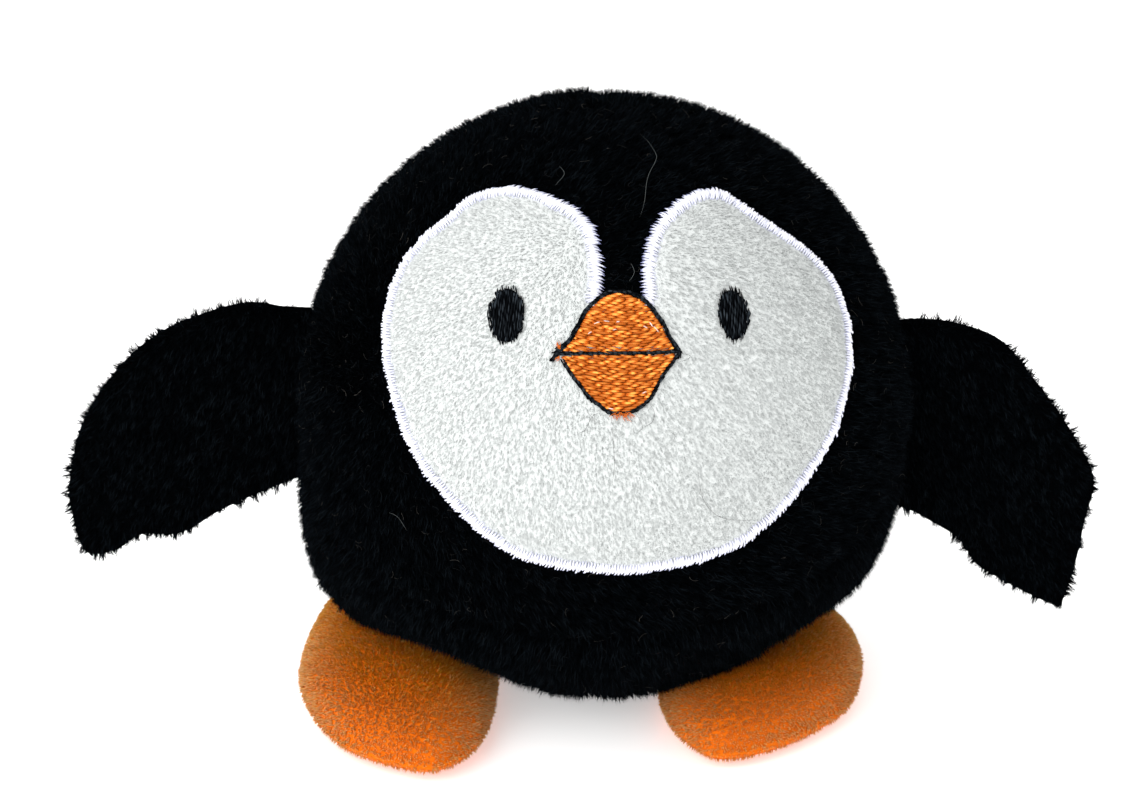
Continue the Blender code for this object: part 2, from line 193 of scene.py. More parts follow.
def in_front(places):
    """Which places about the ball's middle lie on the front panel, between the top and lower seams."""
    over = places[:, 1] * math.sin(LOWER_SEAM) + places[:, 2] * math.cos(LOWER_SEAM)
    return (places[:, 1] < 0) & (over > 0)


def seam_distance(places):
    """How far each place about the ball's middle is from the nearest seam."""
    x, y, z = places.T
    top = np.where(z > 0, np.abs(y), 1)
    along_lower = z * math.sin(LOWER_SEAM) - y * math.cos(LOWER_SEAM)
    over_lower = z * math.cos(LOWER_SEAM) + y * math.sin(LOWER_SEAM)
    lower = np.where(along_lower > 0, np.abs(over_lower), 1)
    centre = np.where(in_front(places), 1, np.abs(x - CENTRE_SEAM_X))
    base = np.where(z < 0, np.abs(np.hypot(x, y) - BASE_RADIUS), 1)
    return np.minimum(np.minimum(top, lower), np.minimum(centre, base))


def ball_reach(ways):
    """How far the cloth lies from the ball's middle, for unit directions in rows."""
    x, y, z = ways.T
    across = np.maximum(np.hypot(x, y), 1e-9)
    aside = np.abs(x / across) ** 4.5
    fullness = np.where(y < 0, 1.81, 2.5) * (1 - aside) + np.where(x < 0, 3.62, 2.9) * aside
    down = np.maximum(-z, 1e-9)
    lower_axis = COVER_BASE / (1 - (FLAT_RADIUS / COVER_RADIUS) ** fullness) ** (1 / fullness)
    lower = ((across / COVER_RADIUS) ** fullness + (down / lower_axis) ** fullness) ** (-1 / fullness)
    softness = 0.4 * MM
    floor_reach = COVER_BASE / down
    lower = np.minimum(lower, floor_reach) - softness * np.exp(-np.abs(lower - floor_reach) / softness)
    reach = np.where(z > 0, COVER_RADIUS, lower)
    height = BALL_RADIUS + z * reach
    slump = np.clip((60 * MM - height) / (45 * MM), 0, 1) ** 2
    reach = reach + x * (0.5 - 3.2 * slump) * MM
    for turn, fall, spread, depth in FOOT_DENTS:
        turn, fall = math.radians(turn), math.radians(fall)
        way = (math.sin(turn) * math.cos(fall), -math.cos(turn) * math.cos(fall), -math.sin(fall))
        reach = reach - depth * np.exp(-((ways - way) ** 2).sum(1) / spread ** 2)
    lumps = (
        np.sin(61 * x + 23 * y + 40 * z) + np.sin(-33 * x + 52 * y + 18 * z + 1.3)
        + np.sin(19 * x - 41 * y + 57 * z + 2.1)
    )
    reach = reach + 0.09 * MM * lumps
    crown = np.exp(-((x / 0.2) ** 2) - ((y - 0.3) / 0.35) ** 2) * (z > 0)
    reach = reach + crown * np.where(x * COVER_RADIUS < CENTRE_SEAM_X, 0.5, -0.3) * MM
    dip = np.exp(-((seam_distance(ways * reach[:, None]) / SEAM_WIDTH) ** 2))
    return reach - np.where(z > 0, TOP_SEAM_DEPTH, SEAM_DEPTH) * dip


def on_ball(ways, height=0.0):
    """Places on the ball's cloth, or that far over it, in unit directions."""
    return middle + ways * (ball_reach(ways) + height)[:, None]


def unit(rows):
    return rows / np.maximum(np.linalg.norm(rows, axis=1), 1e-12)[:, None]


# The embroidery is drawn on a flat pattern in mm, which wraps round the ball about this axis.
PATTERN_RADIUS = 55.9 * MM
FACE_TILT = math.radians(20)
FACE_TURN = math.radians(3)
face_across = np.array((math.cos(FACE_TURN), math.sin(FACE_TURN), 0))
face_out = np.array((
    math.sin(FACE_TURN) * math.cos(FACE_TILT),
    -math.cos(FACE_TURN) * math.cos(FACE_TILT),
    math.sin(FACE_TILT),
))
face_up = np.cross(face_out, face_across)
FACE_OUTLINE = (
    (-2.6, 16), (-2.3, 21), (-3.8, 30.6), (-10, 36.9), (-18.4, 40.8), (-26.5, 40.7),
    (-32.6, 36.3), (-40.7, 29.7), (-45.1, 19.3), (-44.6, 6), (-39, -9.3), (-31.1, -19.5),
    (-20.8, -28.4), (-9.4, -31.6), (3, -32.4), (15.1, -30.7), (24.8, -26.5), (35, -17),
    (43.2, -5.1), (47.2, 9), (46.3, 17.7), (42, 25.8), (33.3, 31.5), (26.8, 35.6),
    (21.2, 39.4), (14, 37.7), (6.9, 30.7), (4.1, 22), (3.6, 16),
)


def pattern_ways(pattern):
    """Unit directions from the ball's middle to pattern points in mm."""
    pattern = np.asarray(pattern, float)
    distance = np.maximum(np.hypot(pattern[:, 0], pattern[:, 1]), 1e-9)
    angle = (distance * MM / PATTERN_RADIUS)[:, None]
    sideways = pattern[:, :1] * face_across + pattern[:, 1:2] * face_up
    return np.cos(angle) * face_out + np.sin(angle) * sideways / distance[:, None]


def pattern_of(ways):
    """Pattern points in mm of unit directions."""
    x, y = ways @ face_across, ways @ face_up
    angle = np.arccos(np.clip(ways @ face_out, -1, 1))
    scale = angle * PATTERN_RADIUS / MM / np.maximum(np.hypot(x, y), 1e-9)
    return np.stack((x * scale, y * scale), 1)


def smooth_line(points, steps, closed=False):
    """A Catmull-Rom curve through the points."""
    points = [np.asarray(point, float) for point in points]
    ends = [points[-1], *points, points[0], points[1]] if closed else [points[0], *points, points[-1]]
    line = []
    for before, start, end, after in zip(ends, ends[1:], ends[2:], ends[3:]):
        for step in range(steps):
            t = step / steps
            line.append(0.5 * (
                2 * start + (end - before) * t + (2 * before - 5 * start + 4 * end - after) * t * t
                + (3 * start - before - 3 * end + after) * t ** 3
            ))
    if not closed:
        line.append(points[-1])
    return np.array(line)


def grown(loop, distance):
    """The closed loop moved outwards by a distance, or inwards by a negative one."""
    after, before = np.roll(loop, -1, 0), np.roll(loop, 1, 0)
    side = np.sign(np.sum(loop[:, 0] * after[:, 1] - after[:, 0] * loop[:, 1]))
    first = unit(np.stack((loop[:, 1] - before[:, 1], before[:, 0] - loop[:, 0]), 1)) * side
    second = unit(np.stack((after[:, 1] - loop[:, 1], loop[:, 0] - after[:, 0]), 1)) * side
    bisector = unit(first + second)
    share = np.maximum(np.sum(bisector * first, 1), 0.7)
    return loop + bisector * (distance / share)[:, None]


def inside(points, loop):
    """Which flat points lie in the closed loop."""
    x, y = points[:, :1], points[:, 1:2]
    ax, ay = loop.T
    bx, by = np.roll(loop, -1, 0).T
    rises = np.where(by == ay, 1e-12, by - ay)
    crossing = ((ay > y) != (by > y)) & (x < (bx - ax) * (y - ay) / rises + ax)
    return crossing.sum(1) % 2 == 1


def nearest_edge(points, loop):
    """How far flat points are from the closed loop's line, and the unit way to it."""
    start = loop[None]
    step = np.roll(loop, -1, 0)[None] - start
    offset = points[:, None] - start
    share = np.clip((offset * step).sum(2) / np.maximum((step ** 2).sum(2), 1e-12), 0, 1)
    away = share[..., None] * step - offset
    distance = np.sqrt((away ** 2).sum(2))
    best = distance.argmin(1)
    rows = np.arange(len(points))
    return distance[rows, best], unit(away[rows, best])


def flat_net(loop, spacing, extent=None, creases=()):
    """Triangles over the inside of a flat loop, or over a disc of that extent, with the loops as edges."""
    low = loop.min(0) if extent is None else np.array((-extent, -extent))
    high = loop.max(0) if extent is None else np.array((extent, extent))
    rows = np.arange(low[1], high[1], spacing * 0.866)
    columns = np.arange(low[0], high[0], spacing)
    grid = np.array([
        (x + spacing / 2 * (row % 2), y) for row, y in enumerate(rows) for x in columns
    ])
    keep = inside(grid, loop) if extent is None else np.hypot(grid[:, 0], grid[:, 1]) < extent
    loops = [loop, *creases]
    for line in loops:
        keep &= nearest_edge(grid, line)[0] > spacing * 0.5
    edges, start = [], 0
    for line in loops:
        edges += [(start + step, start + (step + 1) % len(line)) for step in range(len(line))]
        start += len(line)
    points = np.concatenate((*loops, grid[keep]))
    made = geometry.delaunay_2d_cdt([Vector(point) for point in points], edges, [], 0, 1e-6)
    points = np.array([tuple(point) for point in made[0]])
    faces = np.array(made[2])
    if extent is None:
        faces = faces[inside(points[faces].mean(1), loop)]
    return points, faces


def mesh_arrays(body):
    """Vertex places and faces of a bmesh, which is freed."""
    body.verts.index_update()
    places = np.array([tuple(vert.co) for vert in body.verts])
    faces = [[vert.index for vert in face.verts] for face in body.faces]
    body.free()
    return places, faces


def split_along(places, faces, planes):
    """Cuts a mesh along planes, each (a point, the normal, whether the side it points to is dropped)."""
    mesh = bpy.data.meshes.new("work")
    mesh.from_pydata([tuple(place) for place in places], [], [tuple(face) for face in faces])
    body = bmesh.new()
    body.from_mesh(mesh)
    bpy.data.meshes.remove(mesh)
    for point, normal, drop in planes:
        bmesh.ops.bisect_plane(
            body, geom=body.verts[:] + body.edges[:] + body.faces[:], dist=1e-6,
            plane_co=point, plane_no=normal, clear_outer=drop,
        )
    return mesh_arrays(body)


def only_used(places, faces):
    """Drops the vertices that no face uses."""
    used = sorted({index for face in faces for index in face})
    number = {index: place for place, index in enumerate(used)}
    return places[used], [[number[index] for index in face] for face in faces]


def cloth_mesh(name, places, faces, outward=None, **marks):
    """A mesh with its faces turned outwards, and each mark as a point attribute."""
    mesh = bpy.data.meshes.new(name)
    mesh.from_pydata([tuple(place) for place in places], [], [tuple(face) for face in faces])
    outward = places - middle if outward is None else outward
    corner = np.array([face[:3] for face in faces])
    a, b, c = places[corner[:, 0]], places[corner[:, 1]], places[corner[:, 2]]
    facing = (np.cross(b - a, c - a) * outward[corner[:, 0]]).sum()
    if facing < 0:
        mesh.flip_normals()
    for label, values in marks.items():
        values = np.asarray(values, np.float32)
        kind, field = ("FLOAT_VECTOR", "vector") if values.ndim == 2 else ("FLOAT", "value")
        mesh.attributes.new(label, kind, "POINT").data.foreach_set(field, values.ravel())
    mesh.shade_smooth()
    return mesh


def add_piece(name, mesh, material=None):
    made = bpy.data.objects.new(name, mesh)
    scene.collection.objects.link(made)
    if material is not None:
        mesh.materials.clear()
        mesh.materials.append(material)
    return made


def settle(made):
    """Turns a piece's modifiers into its plain mesh."""
    bpy.context.view_layer.update()
    graph = bpy.context.evaluated_depsgraph_get()
    mesh = bpy.data.meshes.new_from_object(made.evaluated_get(graph))
    made.modifiers.clear()
    made.data = mesh
    mesh.name = made.name
    return made


def skin_piece(name, mesh, material, thickness):
    """A piece of cloth: the mesh is its outside, and its thickness goes inwards."""
    made = add_piece(name, mesh.copy(), material)
    wall = made.modifiers.new("wall", "SOLIDIFY")
    wall.thickness = thickness
    wall.offset = -1
    return settle(made)


# Front panel: a net over the pattern, cut off at the top and lower seams.
face_line = smooth_line(FACE_OUTLINE, 5, closed=True)
net_points, net_faces = flat_net(face_line, 1.6, extent=95)
front_places, front_faces = split_along(
    pattern_ways(net_points) * COVER_RADIUS, net_faces,
    [((0, 0, 0), (0, 1, 0), True), ((0, 0, 0), (0, -math.sin(LOWER_SEAM), -math.cos(LOWER_SEAM)), True)],
)

def ring_net(angles, columns):
    """Unit directions and faces of rings round the ball at those angles from the top, closed at both ends."""
    ways = [(0, 0, 1)]
    for angle in angles:
        for turn in np.linspace(0, math.tau, columns, endpoint=False):
            ways.append((math.sin(angle) * math.cos(turn), math.sin(angle) * math.sin(turn), math.cos(angle)))
    ways.append((0, 0, -1))
    faces = []
    last = len(ways) - 1
    for column in range(columns):
        beside = (column + 1) % columns
        faces.append((0, 1 + column, 1 + beside))
        for row in range(len(angles) - 1):
            start = 1 + row * columns
            below = start + columns
            faces.append((start + column, below + column, below + beside, start + beside))
        faces.append((last, last - columns + beside, last - columns + column))
    return np.array(ways), faces


# Side and base panels: rings round the ball, cut along every seam.
ring_angles = np.linspace(0, math.pi, BALL_ROWS + 1)[1:-1]
base_angle = math.pi - math.atan(BASE_RADIUS / COVER_BASE)
ring_angles[np.argmin(np.abs(ring_angles - base_angle))] = base_angle
ball_ways, ball_faces = ring_net(ring_angles, BALL_COLUMNS)
whole_places, whole_faces = split_along(
    ball_ways * ball_reach(ball_ways)[:, None], ball_faces,
    [
        ((0, 0, 0), (0, 1, 0), False),
        ((0, 0, 0), (0, -math.sin(LOWER_SEAM), -math.cos(LOWER_SEAM)), False),
        ((CENTRE_SEAM_X, 0, 0), (1, 0, 0), False),
    ],
)
whole_places = unit(whole_places)
whole_places = whole_places * ball_reach(whole_places)[:, None]
face_middles = np.array([whole_places[face].mean(0) for face in whole_faces])
is_base = (face_middles[:, 2] < 0) & (np.hypot(face_middles[:, 0], face_middles[:, 1]) < BASE_RADIUS)
is_front = in_front(face_middles)
is_left = face_middles[:, 0] > CENTRE_SEAM_X


def panel_arrays(wanted):
    """Vertex places and faces of the ball's faces in that selection."""
    faces = [face for face, kept in zip(whole_faces, wanted) if kept]
    places, faces = only_used(whole_places, faces)
    return places + middle, faces


front_ways = unit(front_places)
panels = {
    "front": (on_ball(front_ways), front_faces),
    "left": panel_arrays(~is_front & ~is_base & is_left),
    "right": panel_arrays(~is_front & ~is_base & ~is_left),
    "base": panel_arrays(is_base),
}


def calculate(tree, operation, first, second=None, third=None):
    values = {place: value for place, value in enumerate((first, second, third)) if value is not None}
    return add_node(tree, "ShaderNodeMath", {"operation": operation}, values).outputs[0]


def kept_mark(tree, name, output="Fac"):
    return add_node(tree, "ShaderNodeAttribute", {"attribute_name": name}).outputs[output]


def mixed_colour(tree, share, first, second):
    return add_node(tree, "ShaderNodeMix", {"data_type": "RGBA"}, {0: share, 6: first, 7: second}).outputs[2]


def mapped(tree, value, low, high, new_low=0.0, new_high=1.0):
    limits = {"From Min": low, "From Max": high, "To Min": new_low, "To Max": new_high}
    return add_node(tree, "ShaderNodeMapRange", inputs={"Value": value, **limits}).outputs["Result"]


def shaded(tree, colour, value):
    made = add_node(tree, "ShaderNodeHueSaturation", inputs={"Value": value, "Color": colour})
    return made.outputs["Color"]


def shader_group(name, colours, numbers, results):
    """A shader group with those inputs, and results as pairs of a name and a kind of socket."""
    tree = bpy.data.node_groups.new(name, "ShaderNodeTree")
    for labels, kind in ((colours, "Color"), (numbers, "Float")):
        for label in labels:
            tree.interface.new_socket(label, in_out="INPUT", socket_type="NodeSocket" + kind)
    for label, kind in results:
        tree.interface.new_socket(label, in_out="OUTPUT", socket_type="NodeSocket" + kind)
    return tree, tree.nodes.new("NodeGroupInput").outputs, tree.nodes.new("NodeGroupOutput").inputs


def pile_colour_group():
    """Shader group: pile fibres darkened towards the root as painted shade, some tips paler as painted glints
    and painted sheen, and the normal of the cloth below.
    """
    tree, given, end = shader_group(
        "pile_colour", ("Root", "Tip", "Pale"), ("Patch Scale", "Shade Spread", "Evenness"),
        (("Color", "Color"), ("Normal", "Vector")),
    )
    along, tone, lift = (kept_mark(tree, name) for name in ("along", "tone", "lift"))
    place = add_node(tree, "ShaderNodeTexCoord").outputs["Object"]
    patch = add_node(
        tree, "ShaderNodeTexNoise", inputs={"Vector": place, "Scale": given["Patch Scale"], "Detail": 3.0}
    ).outputs["Fac"]
    # Roots take the darker colour: painted shade deep in the pile.
    depth = mixed_colour(tree, along, given["Root"], given["Tip"])
    # Tips of some fibres, chosen at random, and tips where the bed marks painted sheen go paler: painted
    # glints and painted sheen.
    raised = calculate(tree, "MAXIMUM", mapped(tree, tone, 0.6, 1.0, 0.0, 0.8), lift)
    raised = calculate(tree, "MULTIPLY", raised, along)
    lifted = mixed_colour(tree, raised, depth, given["Pale"])
    shade = mapped(tree, calculate(tree, "MULTIPLY_ADD", patch, 0.6, tone), 0.1, 1.5, -1.0, 1.0)
    value = calculate(tree, "MULTIPLY_ADD", shade, given["Shade Spread"], 1.0)
    fibre = add_node(tree, "ShaderNodeNewGeometry").outputs["Normal"]
    cloth = add_node(
        tree, "ShaderNodeVectorTransform",
        {"vector_type": "NORMAL", "convert_from": "OBJECT", "convert_to": "WORLD"},
        {0: kept_mark(tree, "skin", "Vector")},
    ).outputs[0]
    facing = add_node(
        tree, "ShaderNodeMix", {"data_type": "VECTOR"}, {0: given["Evenness"], 4: fibre, 5: cloth}
    ).outputs[1]
    facing = add_node(tree, "ShaderNodeVectorMath", {"operation": "NORMALIZE"}, {0: facing}).outputs[0]
    tree.links.new(shaded(tree, lifted, value), end["Color"])
    tree.links.new(facing, end["Normal"])
    return tree


pile_colour = pile_colour_group()


def pile_material(
    name, root, tip, pale, patch_scale, spread, evenness, roughness, specular, clearness=0.0, glow=(1, 1, 1)
):
    """A material for pile. Evenness turns the shading of single fibres into that of the cloth below,
    and clearness is how much light passes through them, with glow as its reach in red, green and blue."""
    made, tree, shader = new_material(name, roughness, specular)
    shader.inputs["Subsurface Weight"].default_value = clearness
    shader.inputs["Subsurface Radius"].default_value = glow
    shader.inputs["Subsurface Scale"].default_value = GLOW_DEPTH
    group = add_node(tree, "ShaderNodeGroup", {"node_tree": pile_colour}, {
        "Root": (*root, 1), "Tip": (*tip, 1), "Pale": (*pale, 1),
        "Patch Scale": patch_scale, "Shade Spread": spread, "Evenness": evenness,
    })
    tree.links.new(group.outputs["Color"], shader.inputs["Base Color"])
    tree.links.new(group.outputs["Normal"], shader.inputs["Normal"])
    return made


def cloth_material(name, dark, light, scale, roughness):
    """A material for the cloth under a pile: two shades of one colour and a fine knit bump."""
    made, tree, shader = new_material(name, roughness, 0.1)
    place = add_node(tree, "ShaderNodeTexCoord").outputs["Object"]
    grain = add_node(tree, "ShaderNodeTexNoise", inputs={"Vector": place, "Scale": scale, "Detail": 4.0})
    two_shades(tree, shader, grain.outputs["Fac"], dark, light)
    knit = add_node(tree, "ShaderNodeTexVoronoi", inputs={"Vector": place, "Scale": scale * 3})
    bump = add_node(tree, "ShaderNodeBump", inputs={
        "Strength": 0.3, "Distance": 0.2 * MM, "Height": knit.outputs["Distance"],
    })
    tree.links.new(bump.outputs["Normal"], shader.inputs["Normal"])
    return made


black_cloth = cloth_material(
    "black_backing_cloth", (0.0004, 0.0005, 0.0007), (0.0012, 0.0014, 0.0018), 900, 0.95
)
black_cloth.node_tree.nodes["Principled BSDF"].inputs["Specular IOR Level"].default_value = 0.0
# Near black, darker at the roots as painted shade, with bluish pale tips as painted glints.
black_pile = pile_material(
    "black_pile", (0.0001, 0.0002, 0.0003), (0.0012, 0.0021, 0.0030), (0.011, 0.015, 0.019),
    260, 0.5, 0.2, 0.85, 0.01,
)

for panel, (places, faces) in panels.items():
    cover = skin_piece(
        f"body_{panel}_plush", cloth_mesh(f"body_{panel}_plush", places, faces), black_cloth, COVER_THICKNESS
    )
    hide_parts(f"body_{panel}_panel")
    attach(cover, "body")


# ---------------------------------------------------------------- black pile
# Plush is woven with a short cut pile. Its fibres stand in small tufts that lean along the nap,
# which runs round the face on the front panel and downwards on the sides and back.

HAIR_LENGTH = 2.7 * MM
HAIR_WIDTH = 0.12 * MM
LABEL_REST_HEIGHT = 31 * MM


def new_tree(name, inputs):
    """A Geometry Nodes tree with a geometry input and output, and those named inputs."""
    tree = bpy.data.node_groups.new(name, "GeometryNodeTree")
    tree.interface.new_socket("Geometry", in_out="INPUT", socket_type="NodeSocketGeometry")
    tree.interface.new_socket("Geometry", in_out="OUTPUT", socket_type="NodeSocketGeometry")
    for label, kind, value in inputs:
        made = tree.interface.new_socket(label, in_out="INPUT", socket_type="NodeSocket" + kind)
        if value is not None:
            made.default_value = value
    return tree, tree.nodes.new("NodeGroupInput").outputs, tree.nodes.new("NodeGroupOutput")


def vector(tree, operation, first, second=None, scale=None):
    values = {place: value for place, value in ((0, first), (1, second), (3, scale)) if value is not None}
    made = add_node(tree, "ShaderNodeVectorMath", {"operation": operation}, values)
    return made.outputs[1 if operation in ("LENGTH", "DOT_PRODUCT") else 0]


def mark(tree, name, kind):
    return add_node(
        tree, "GeometryNodeInputNamedAttribute", {"data_type": kind}, {"Name": name}
    ).outputs["Attribute"]


def random_number(tree, low, high, seed):
    made = add_node(tree, "FunctionNodeRandomValue", {"data_type": "FLOAT"}, {2: low, 3: high, "Seed": seed})
    return made.outputs[1]


def scattered(tree, mesh, per_mm2, seed):
    """Points scattered over a mesh, with its normal at each."""
    return add_node(
        tree, "GeometryNodeDistributePointsOnFaces", {"distribute_method": "RANDOM"},
        {"Mesh": mesh, "Density": calculate(tree, "MULTIPLY", per_mm2, 1e6), "Seed": seed},
    ).outputs


def stored(tree, geometry, name, kind, domain, value):
    """The geometry with a value kept on it under that name."""
    return add_node(
        tree, "GeometryNodeStoreNamedAttribute", {"data_type": kind, "domain": domain},
        {"Geometry": geometry, "Name": name, "Value": value},
    ).outputs[0]


def combined(tree, **parts):
    return add_node(tree, "ShaderNodeCombineXYZ", inputs=parts).outputs[0]


def as_rotation(tree, angles):
    return add_node(tree, "FunctionNodeEulerToRotation", inputs={0: angles}).outputs[0]


def set_out(tree, end, material, marks, **placed):
    """Puts a shape at every point with its marks, makes one mesh of them all, and ends the tree."""
    shapes = add_node(tree, "GeometryNodeInstanceOnPoints", inputs=placed).outputs[0]
    for name, kind, value in marks:
        shapes = stored(tree, shapes, name, kind, "INSTANCE", value)
    loose = add_node(tree, "GeometryNodeRealizeInstances", inputs={"Geometry": shapes}).outputs[0]
    finished = add_node(tree, "GeometryNodeSetMaterial", inputs={"Geometry": loose, "Material": material})
    tree.links.new(finished.outputs[0], end.inputs["Geometry"])
    return tree


def pile_tree():
    """Grows pile on a mesh whose points hold comb, the way it leans, and long, a share of its length."""
    tree, given, end = new_tree("pile", (
        ("Hairs per mm2", "Float", 7.0), ("Length", "Float", HAIR_LENGTH), ("Width", "Float", HAIR_WIDTH),
        ("Lean", "Float", 0.9), ("Ruffle", "Float", 0.5),
        ("Swirl", "Float", 0.5), ("Swirl Scale", "Float", 180.0),
        ("Tufts per mm2", "Float", 0.55), ("Tuft Pull", "Float", 0.7), ("Tuft Relief", "Float", 0.6),
        ("Seed", "Int", 1), ("Material", "Material", None),
    ))
    roots = scattered(tree, given["Geometry"], given["Hairs per mm2"], given["Seed"])
    tuft_seed = calculate(tree, "ADD", given["Seed"], 77)
    tufts = scattered(tree, given["Geometry"], given["Tufts per mm2"], tuft_seed)["Points"]
    place = add_node(tree, "GeometryNodeInputPosition").outputs[0]
    nearest = add_node(tree, "GeometryNodeSampleNearest", {"domain": "POINT"}, {"Geometry": tufts}).outputs[0]
    tuft_place = add_node(
        tree, "GeometryNodeSampleIndex", {"data_type": "FLOAT_VECTOR", "domain": "POINT"},
        {"Geometry": tufts, "Value": place, "Index": nearest},
    ).outputs[0]
    tuft_number = add_node(
        tree, "FunctionNodeRandomValue", {"data_type": "FLOAT"},
        {2: 0.0, 3: 1.0, "ID": nearest, "Seed": given["Seed"]},
    ).outputs[1]

    swirl_map = add_node(
        tree, "ShaderNodeTexNoise", inputs={"Vector": place, "Scale": given["Swirl Scale"], "Detail": 2.0}
    ).outputs["Color"]
    swirl = vector(tree, "SCALE", vector(tree, "SUBTRACT", swirl_map, (0.5, 0.5, 0.5)), scale=given["Swirl"])
    jitter = add_node(
        tree, "FunctionNodeRandomValue", {"data_type": "FLOAT_VECTOR"},
        {0: (-1, -1, -1), 1: (1, 1, 1), "Seed": calculate(tree, "ADD", given["Seed"], 3)},
    ).outputs[0]
    ruffle = vector(tree, "SCALE", jitter, scale=given["Ruffle"])
    comb = vector(tree, "SCALE", mark(tree, "comb", "FLOAT_VECTOR"), scale=given["Lean"])
    bearing = vector(tree, "ADD", vector(tree, "ADD", comb, swirl), ruffle)
    bearing = vector(tree, "NORMALIZE", vector(tree, "ADD", bearing, roots["Normal"]))

    length = calculate(tree, "MULTIPLY", given["Length"], mark(tree, "long", "FLOAT"))
    length = calculate(tree, "MULTIPLY", length, random_number(tree, 0.84, 1.06, 5))
    tuft_length = calculate(tree, "MULTIPLY_ADD", tuft_number, 0.4, 0.8)
    length = calculate(tree, "MULTIPLY", length, tuft_length)
    inward = vector(tree, "SUBTRACT", tuft_place, place)
    edge = calculate(tree, "MINIMUM", calculate(tree, "MULTIPLY", vector(tree, "LENGTH", inward), 900.0), 1.0)
    low = calculate(tree, "MULTIPLY", calculate(tree, "MULTIPLY", edge, edge), given["Tuft Relief"])
    length = calculate(tree, "MULTIPLY", length, calculate(tree, "SUBTRACT", 1.0, low))
    pull = vector(tree, "SCALE", inward, scale=given["Tuft Pull"])
    shaft = vector(tree, "ADD", vector(tree, "SCALE", bearing, scale=length), pull)
    longest = calculate(tree, "MULTIPLY", length, 1.1)
    shaft_length = calculate(tree, "MINIMUM", vector(tree, "LENGTH", shaft), longest)

    spike = add_node(
        tree, "GeometryNodeMeshCone", {"fill_type": "NGON"},
        {"Vertices": 3, "Side Segments": 1, "Radius Top": 0.0, "Radius Bottom": 1.0, "Depth": 1.0},
    ).outputs["Mesh"]
    height = add_node(tree, "ShaderNodeSeparateXYZ", inputs={0: place}).outputs["Z"]
    spike = stored(tree, spike, "along", "FLOAT", "POINT", height)
    spun = as_rotation(tree, combined(tree, Z=random_number(tree, 0.0, math.tau, 11)))
    turned = add_node(
        tree, "FunctionNodeAlignRotationToVector", {"axis": "Z"}, {"Rotation": spun, "Vector": shaft}
    ).outputs[0]
    width = calculate(tree, "MULTIPLY", given["Width"], random_number(tree, 0.75, 1.2, 9))
    size = combined(tree, X=width, Y=width, Z=shaft_length)
    rooted = stored(tree, roots["Points"], "cloth_way", "FLOAT_VECTOR", "POINT", roots["Normal"])
    shade = calculate(tree, "MULTIPLY_ADD", tuft_number, 0.3, random_number(tree, 0.0, 0.7, 13))
    marks = (("tone", "FLOAT", shade), ("skin", "FLOAT_VECTOR", mark(tree, "cloth_way", "FLOAT_VECTOR")))
    return set_out(
        tree, end, given["Material"], marks, Points=rooted, Instance=spike, Rotation=turned, Scale=size
    )


def made_by(tree, name, mesh, **values):
    """Runs a Geometry Nodes tree on a mesh with the named inputs, and returns a piece with a plain mesh."""
    source = add_piece(name + "_bed", mesh)
    modifier = source.modifiers.new("make", "NODES")
    modifier.node_group = tree
    labels = {label.replace("_", " "): value for label, value in values.items()}
    for item in tree.interface.items_tree:
        if item.in_out == "INPUT" and item.name in labels:
            modifier[item.identifier] = labels[item.name]
    settle(source)
    source.name = name
    for attribute in list(source.data.attributes):
        if attribute.name in ("comb", "long", "cloth_way", "run", "facing", "weight"):
            source.data.attributes.remove(attribute)
    material = labels["Material"]
    source.data.materials.clear()
    source.data.materials.append(material)
    source.data.polygons.foreach_set("material_index", np.zeros(len(source.data.polygons), np.int32))
    return source


pile = pile_tree()


def laid_flat(field, ways):
    """A field of directions laid along the surface that faces each way."""
    return unit(field - (field * ways).sum(1)[:, None] * ways)


def front_nap(ways):
    """The nap of the front panel: across the forehead, then down and round under the face."""
    field = np.tile(np.array((1.0, 0, -0.12)), (len(ways), 1))
    field[:, 2] -= 0.5 * np.clip(-ways[:, 0] * 1.5, 0, 1) * (ways[:, 2] < 0.2)
    return laid_flat(field, ways)


def side_nap(ways):
    """The nap of the side and back panels: down, and away from the centre seam."""
    field = np.zeros((len(ways), 3))
    field[:, 0] = 0.4 * np.tanh((ways[:, 0] * COVER_RADIUS - CENTRE_SEAM_X) / (6 * MM))
    field[:, 2] = -1
    return laid_flat(field, ways) * (1 - 0.6 * np.clip(ways[:, 2:] * 1.6 - 0.6, 0, 1))


def black_length(places):
    """Pile is shorter beside the face's stitching, along seams, under the label and where weight presses."""
    offset = places - middle
    by_seam = 1 - 0.08 * np.exp(-((seam_distance(offset) / (1.6 * MM)) ** 2))
    pressed = np.clip(places[:, 2] / (7 * MM), 0.18, 1)
    by_face, _ = nearest_edge(pattern_of(unit(offset)), face_line)
    sewn = np.where(offset[:, 1] < 0, 0.4 + 0.6 * np.clip(by_face / 3.5, 0, 1), 1)
    beside_label, over_label = offset[:, 0] / (17 * MM), (places[:, 2] - LABEL_REST_HEIGHT) / (9 * MM)
    by_label = 1 - 0.6 * np.exp(-(beside_label ** 4) - over_label ** 4)
    return by_seam * pressed * sewn * np.where(offset[:, 1] > 0, by_label, 1)


def grow_black(name, places, faces, nap, seed, hairs=7.0):
    """Black pile over part of the ball, riding with it."""
    ways = unit(places - middle)
    bed = cloth_mesh(name, places, faces, comb=nap(ways), long=black_length(places))
    made = made_by(pile, name, bed, Seed=seed, Material=black_pile, Hairs_per_mm2=hairs)
    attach(made, "body")


front_middles = np.array([front_places[face].mean(0) for face in front_faces])
bare_front = inside(pattern_of(unit(front_middles)), grown(face_line, -0.3))
front_halves = (("right", front_middles[:, 0] < 0), ("left", front_middles[:, 0] >= 0))
for seed, (side, wanted) in enumerate(front_halves, 11):
    faces = [face for face, kept in zip(front_faces, wanted & ~bare_front) if kept]
    grow_black(f"body_front_{side}_pile", *only_used(on_ball(front_ways), faces), front_nap, seed, hairs=8.0)

